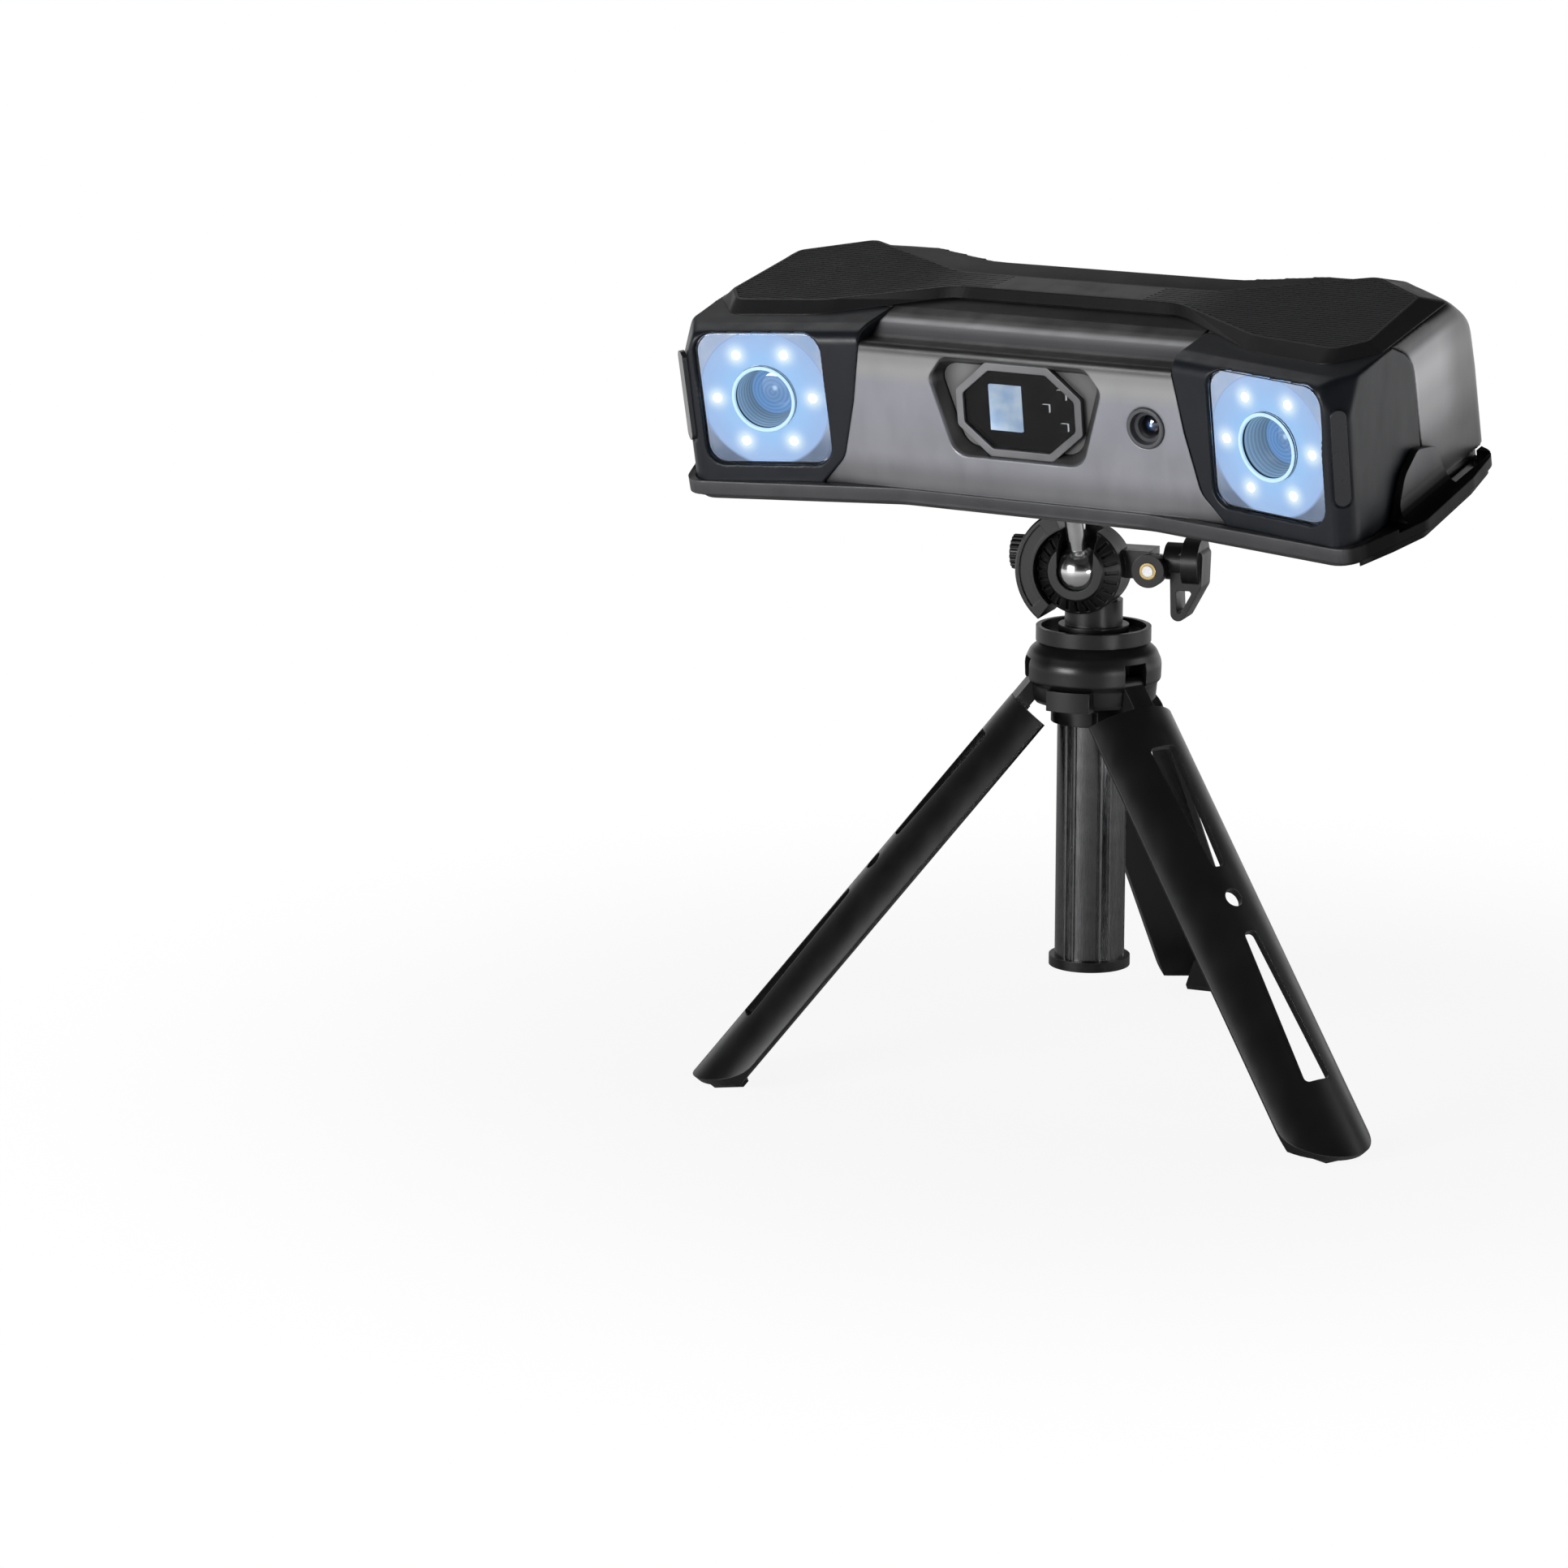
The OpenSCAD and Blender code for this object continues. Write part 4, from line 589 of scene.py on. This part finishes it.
NODE_LOOKS = {
    "projector_lens": lit_prism(),
    "colour_camera_lens": small_lens(),
    "front_fascia": shell_grey("fascia_grey", 0.39, fascia_painted_shading),
    "column": metal("column_dark", rgb(0.13, 0.13, 0.133), 0.27, (1, 1, 0.05)),
    "projector_module": moulded("module_black", rgb(0.002), 0.55, depth=0.001 * MM, gloss=0.12),
    "range_sensors": sensor_glass(),
    "colour_camera_ring": moulded("eye_ring", rgb(0.08, 0.082, 0.09), 0.32, depth=0.003 * MM,
                                  edge=0.4 * MM),
}
BARREL_LOOKS = [MATERIALS["lens_black"], lit_rim(), hazy_wall()]


def show(name, data):
    """A new object in the scene."""
    obj = bpy.data.objects.new(name, data)
    bpy.context.scene.collection.objects.link(obj)
    return obj


def dress(obj, material):
    obj.data.materials.clear()
    obj.data.materials.append(material)


def mesh_of(name, b):
    """The mesh of a finished bmesh."""
    mesh = bpy.data.meshes.new(name)
    b.to_mesh(mesh)
    b.free()
    return mesh


def baked(obj):
    """The mesh that an object's modifiers make of it, in place of the object."""
    scene = bpy.context.evaluated_depsgraph_get()
    mesh = bpy.data.meshes.new_from_object(obj.evaluated_get(scene))
    bpy.data.objects.remove(obj)
    return mesh


def stand_in(obj, node):
    """Puts a finer piece in a node's place and on its body."""
    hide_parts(node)
    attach(obj, BODY_OF[node])


def piece(name, mesh_maker, node, matrix=Matrix.Identity(4), materials=None):
    """A finer piece built in a node's place, smooth but for its sharp edges."""
    b = bmesh.new()
    mesh_maker(b)
    bmesh.ops.recalc_face_normals(b, faces=b.faces)
    for f in b.faces:
        f.smooth = True
    for e in b.edges:
        e.smooth = len(e.link_faces) == 2 and e.calc_face_angle(0) < radians(CREASE)
    obj = show(name, mesh_of(name, b))
    obj.matrix_world = matrix
    for material in materials or [MATERIALS[SLOT_OF[node]]]:
        obj.data.materials.append(material)
    stand_in(obj, node)


def loft(b, rings, material=None):
    """Faces between rings of points of the same count, closed on itself; a material per band, if given."""
    rows = [[b.verts.new(Vector(p) * MM) for p in ring] for ring in rings]
    for i, (low, high) in enumerate(zip(rows, rows[1:] + rows[:1])):
        n = len(low)
        for k in range(n):
            f = b.faces.new((low[k], low[(k + 1) % n], high[(k + 1) % n], high[k]))
            if material:
                f.material_index = material[i]


def turned(b, profile, steps=96, material=None, at=(0, 0)):
    """A revolve about the way out, -y, of (radius, height) points."""
    turns = [2 * pi * k / steps for k in range(steps)]
    rings = [[(at[0] + r * cos(a), -h, at[1] + r * sin(a)) for a in turns] for r, h in profile]
    loft(b, rings, material)


def even_turns():
    return [2 * pi * (k + 0.5) / RING_STEPS for k in range(RING_STEPS)]


def square_ring(half, corner, height):
    """A rounded square round the lens axis, by even turns, at a height."""
    points = []
    flat = half - corner
    for a in even_turns():
        c, s = cos(a), sin(a)
        reach = half / max(abs(c), abs(s))
        if abs(reach * c) > flat and abs(reach * s) > flat:
            # the ray from the axis meets the corner's arc
            along = flat * (abs(c) + abs(s))
            reach = along + (along * along - (2 * flat * flat - corner * corner)) ** 0.5
        points.append((reach * c, -height, reach * s))
    return points


def round_ring(radius, height):
    return [(radius * cos(a), -height, radius * sin(a)) for a in even_turns()]


def inset_square(half, corner, inset, height):
    return square_ring(half - inset, corner - inset, height)


def window_form(b):
    """A clear plate with eased edges and a round hole, standing a little off the board."""
    low, top = WINDOW_LOW, WINDOW_TOP
    sides = [(0.3, low), (0, low + 0.2), (0, top - 0.35), (0.12, top - 0.1), (0.4, top)]
    loft(b, [inset_square(WINDOW_HALF, WINDOW_R, inset, h) for inset, h in sides]
         + [round_ring(HOLE_R + 0.2, top), round_ring(HOLE_R, top - 0.2), round_ring(HOLE_R, low)])


def board_form(b):
    """The reflector: a shallow tray with a turned-up border."""
    sides = [(0, -BOARD_T), (0, BOARD_RIM), (0.4, BOARD_RIM), (0.9, 0)]
    loft(b, [inset_square(BOARD_HALF, BOARD_R, inset, h) for inset, h in sides]
         + [round_ring(HOLE_R, 0), round_ring(HOLE_R, -BOARD_T)])


def dome(radius, low, top, steps):
    """The profile of a dome from its foot up, short of its crown."""
    turns = [i * pi / (2 * steps) for i in range(steps)]
    return [(radius * cos(t), low + (top - low) * sin(t)) for t in turns]


def lamp_form(b):
    """The ring of lamps, each a short peg with a domed end."""
    low, top = -0.2, 0.5
    profile = [(0.05, low - 1), (LAMP_R, low - 1)] + dome(LAMP_R, low, top, 8) + [(0.05, top)]
    for k in range(LAMP_COUNT):
        a = 2 * pi * k / LAMP_COUNT
        turned(b, profile, 24, at=(LAMP_RING * cos(a), LAMP_RING * sin(a)))


def barrel_form(b):
    """A lens barrel: pale rim, then stepped baffles down to the glass."""
    shell, rim, inside = range(3)
    outer = [(LENS_R - 1.2, -BARREL_L), (BARREL_R, -BARREL_L)]
    lip = [(0, 1.85), (0.12, 2.1), (0.4, RIM_TOP), (1.15, RIM_TOP), (1.4, 2.05)]
    neck = [(BARREL_R - 1.52, 1.4)]
    steps = []
    for i in range(BAFFLES):
        r, h = BAFFLE_R - 0.42 * i, 0.4 - BAFFLE_PITCH * i
        steps += [(r, h), (r - 0.06, h - 1.3), (r - 0.3, h - 1.45)]
    seat = [(LENS_R + 0.05, LENS_LOW - 0.2), (LENS_R - 1.2, LENS_LOW - 2)]
    profile = outer + [(BARREL_R - inset, h) for inset, h in lip] + neck + steps + seat
    bands = [shell] * len(outer) + [rim] * len(lip) + [shell] + [inside] * (len(steps) + len(seat))
    turned(b, profile, RING_STEPS, bands)


def lens_form(b):
    foot = LENS_LOW - 2
    turned(b, [(0.05, foot), (LENS_R, foot)] + dome(LENS_R, LENS_LOW, LENS_TOP, 16) + [(0.05, LENS_TOP)])


def optics():
    """Windows, reflectors, lamps, barrels and lenses of both cameras."""
    for name, side in SIDES:
        at = panel_frame(side)
        piece("window_fine_" + name, window_form, "window_" + name, at)
        piece("lamp_board_fine_" + name, board_form, "lamp_board_" + name, at)
        piece("lamps_fine_" + name, lamp_form, "lamps_" + name, at)
        piece("lens_barrel_fine_" + name, barrel_form, "lens_barrel_" + name, at, BARREL_LOOKS)
        piece("camera_lens_fine_" + name, lens_form, "camera_lens_" + name, at)


def fin_cutters():
    """Radial wedges that follow the ball ring's cone, 2 mm deep."""
    inner, outer, half = FACE_R + 0.9, HEAD_R - 0.9, 0.72
    profile = ((inner, -12), (outer, -12), (outer, -2.5), (inner, -5.2))
    b = bmesh.new()
    for i in range(FINS):
        spoke = turn(360 * i / FINS, "Y")
        near, far = ([b.verts.new(spoke @ Vector((r, y, z)) * MM) for r, y in profile]
                     for z in (-half, half))
        b.faces.new(near)
        b.faces.new(far[::-1])
        for k in range(4):
            b.faces.new((near[k], far[k], far[(k + 1) % 4], near[(k + 1) % 4]))
    bmesh.ops.recalc_face_normals(b, faces=b.faces)
    cutters = show("fin_cutters", mesh_of("fin_cutters", b))
    cutters.matrix_world = Matrix.Translation(BALL) @ turn(HEAD_TURN, "Z")
    return cutters


def finned_ring():
    """The ball ring with its fins cut down the whole cone."""
    cutters = fin_cutters()
    ring = show("ring_cut", NODES["ball_ring"].data.copy())
    cut = ring.modifiers.new("fins", "BOOLEAN")
    cut.operation = "DIFFERENCE"
    cut.solver = "EXACT"
    cut.object = cutters
    mesh = baked(ring)
    bpy.data.objects.remove(cutters)
    mesh.materials.clear()
    piece("ball_ring_finned", lambda b: b.from_mesh(mesh), "ball_ring")


def local_places(co):
    """Points in the scanner's own frame, in millimetres."""
    m = np.array(SCANNER.inverted())
    return (co @ m[:3, :3].T + m[:3, 3]) / MM


def near_slant(co, at, bearing, steep, reach):
    """1 by the plane of a slanted corner, falling to 0 a reach away from it."""
    a, t = radians(bearing), radians(steep)
    normal = np.array((sin(t) * cos(a), sin(t) * sin(a), cos(t)))
    away = np.abs((local_places(co) - np.array(at)) @ normal)
    return np.clip(1 - away / reach, 0, 1)


def relax(mesh, passes, weight):
    """Moves points towards the mean of their neighbours: all at first, then where the weight says."""
    n = len(mesh.vertices)
    co = np.empty(n * 3)
    mesh.vertices.foreach_get("co", co)
    co = co.reshape(n, 3)
    ends = np.empty(len(mesh.edges) * 2, dtype=np.int64)
    mesh.edges.foreach_get("vertices", ends)
    a, b = ends[0::2], ends[1::2]
    count = np.bincount(a, minlength=n) + np.bincount(b, minlength=n)
    share = 0.5 * np.clip(weight(co), 0, 1)
    for i in range(passes):
        gain = np.maximum(share, SETTLE_SHARE) if i < SETTLE_PASSES else share
        for k in range(3):
            mean = (np.bincount(a, co[b, k], n) + np.bincount(b, co[a, k], n)) / count
            co[:, k] += gain * (mean - co[:, k])
    mesh.vertices.foreach_set("co", co.ravel())


def eased(node, voxel, passes, weight):
    """A copy of a moulded node on a fine skin, its edges rolled over where the weight says."""
    skin = show(node + "_skin", NODES[node].data.copy())
    remesh = skin.modifiers.new("skin", "REMESH")
    remesh.mode = "VOXEL"
    remesh.voxel_size = voxel * MM
    mesh = baked(skin)
    relax(mesh, passes, weight)
    smooth = show(node + "_smooth", mesh)
    smooth.modifiers.new("thin", "DECIMATE").ratio = SKIN_KEEP
    mesh = baked(smooth)
    mesh.name = node + "_eased"
    for f in mesh.polygons:
        f.use_smooth = True
    obj = show(node + "_eased", mesh)
    dress(obj, MATERIALS[SLOT_OF[node]])
    stand_in(obj, node)


def mouldings():
    """The camera panels and the rear shell, with their slanted corners rolled over."""
    def corner(slant, side):
        return lambda co: near_slant(co * (side, 1, 1), *slant)

    for name, side in SIDES:
        eased("camera_panel_" + name, 0.5, 60, corner(PANEL_SLANT, side))
    left, right = (corner(SHELL_SLANT, side) for _, side in SIDES)
    eased("rear_shell", 0.8, 120, lambda co: np.maximum(left(co), right(co)))


def dress_nodes():
    for name, node in NODES.items():
        dress(node, NODE_LOOKS.get(name, MATERIALS[SLOT_OF[name]]))


def floor():
    """A pale floor that fades to plain white and keeps the object's shadow."""
    r = FLOOR_HALF
    mesh = bpy.data.meshes.new("floor")
    mesh.from_pydata([(-r, -r, 0), (r, -r, 0), (r, r, 0), (-r, r, 0)], [], [(0, 1, 2, 3)])
    obj = show("floor", mesh)
    p = Paint("floor_pale")
    p.set(Base_Color=rgb(0.85), Roughness=0.7, Specular_IOR_Level=0.1)
    x, y, _ = p.split(p.where())
    away = p.length(x, y)
    path = p.add("LightPath").outputs
    seen = p.math("MAXIMUM", path["Is Camera Ray"], path["Is Transmission Ray"])
    seen = p.math("MULTIPLY", p.spread(away, 0.9, 1.0, *SEEN_FADE, True), seen)
    mirrored = p.math("MULTIPLY", path["Is Glossy Ray"], p.spread(away, 0.0, 1.0, *MIRRORED_FADE, True))
    share = p.math("MAXIMUM", seen, mirrored)
    white = p.add("Emission")
    both = p.add("MixShader", {0: share, 1: p.shader.outputs[0], 2: white.outputs[0]})
    p.put(p.nodes["Material Output"].inputs["Surface"], both.outputs[0])
    dress(obj, p.material)


def surroundings():
    """White where it is seen, mirrored as a bright wall behind the object, and a weak light from all round."""
    world = bpy.data.worlds.new("studio")
    bpy.context.scene.world = world
    world.use_nodes = True
    world.node_tree.nodes.clear()
    n = Nodes(world.node_tree)

    def background(strength):
        return n.add("Background", {"Color": rgb(1.0), "Strength": strength}).outputs[0]

    def either(factor, a, b):
        return n.add("MixShader", {0: factor, 1: a, 2: b}).outputs[0]

    way = n.add("TexCoord").outputs["Generated"]
    path = n.add("LightPath").outputs
    up = n.split(way)["Z"]
    behind = n.dot(way, CAMERA_LOOKS * Vector((1, 1, 0)))
    wall = n.math("MULTIPLY", n.spread(behind, ROOM_DIM, 1.0, *WALL_BACK, True),
                  n.spread(up, 1.0, CEILING, *WALL_UP, True))
    ambient = n.spread(up, AMBIENT, AMBIENT * CEILING, *LIGHT_UP, True)
    lit = either(path["Is Glossy Ray"], background(ambient), background(wall))
    seen = n.math("MAXIMUM", path["Is Camera Ray"], path["Is Transmission Ray"])
    n.add("OutputWorld", {0: either(seen, lit, background(1.0))})


def light(name, at, aim, energy, size, spread=180):
    """A rectangular lamp of a size in metres, turned to its aim."""
    data = bpy.data.lights.new(name, "AREA")
    data.shape = "RECTANGLE"
    data.energy = energy
    data.spread = radians(spread)
    data.size, data.size_y = size
    lamp = show(name, data)
    lamp.location = at
    lamp.rotation_euler = (Vector(aim) - Vector(at)).to_track_quat("-Z", "Y").to_euler()


def lights():
    scanner, feet = (0, -0.02, 0.25), (0, 0, 0.04)
    light("softbox_front", (-0.5, -1.7, 0.42), scanner, 24, (0.8, 0.5))
    light("softbox_right", (1.35, 0.75, 0.5), scanner, 7, (1.0, 1.0))
    light("softbox_top", (-0.8, 0.4, 1.35), scanner, 2.2, (0.8, 0.8))
    light("strip_low", (1.4, -0.6, 0.06), feet, 0.15, (0.3, 0.2), 12)


def camera():
    data = bpy.data.cameras.new("camera")
    data.sensor_width = SENSOR_MM
    data.lens = FOCAL_PX / PHOTO_SIZE * SENSOR_MM
    cam = show("camera", data)
    cam.location = AXIS + CAMERA_AT * MM
    cam.rotation_euler = CAMERA_LOOKS.to_track_quat("-Z", "Y").to_euler()
    bpy.context.scene.camera = cam


bpy.context.scene.view_settings.view_transform = "Standard"
camera()
floor()
surroundings()
lights()
dress_nodes()
optics()
finned_ring()
mouldings()
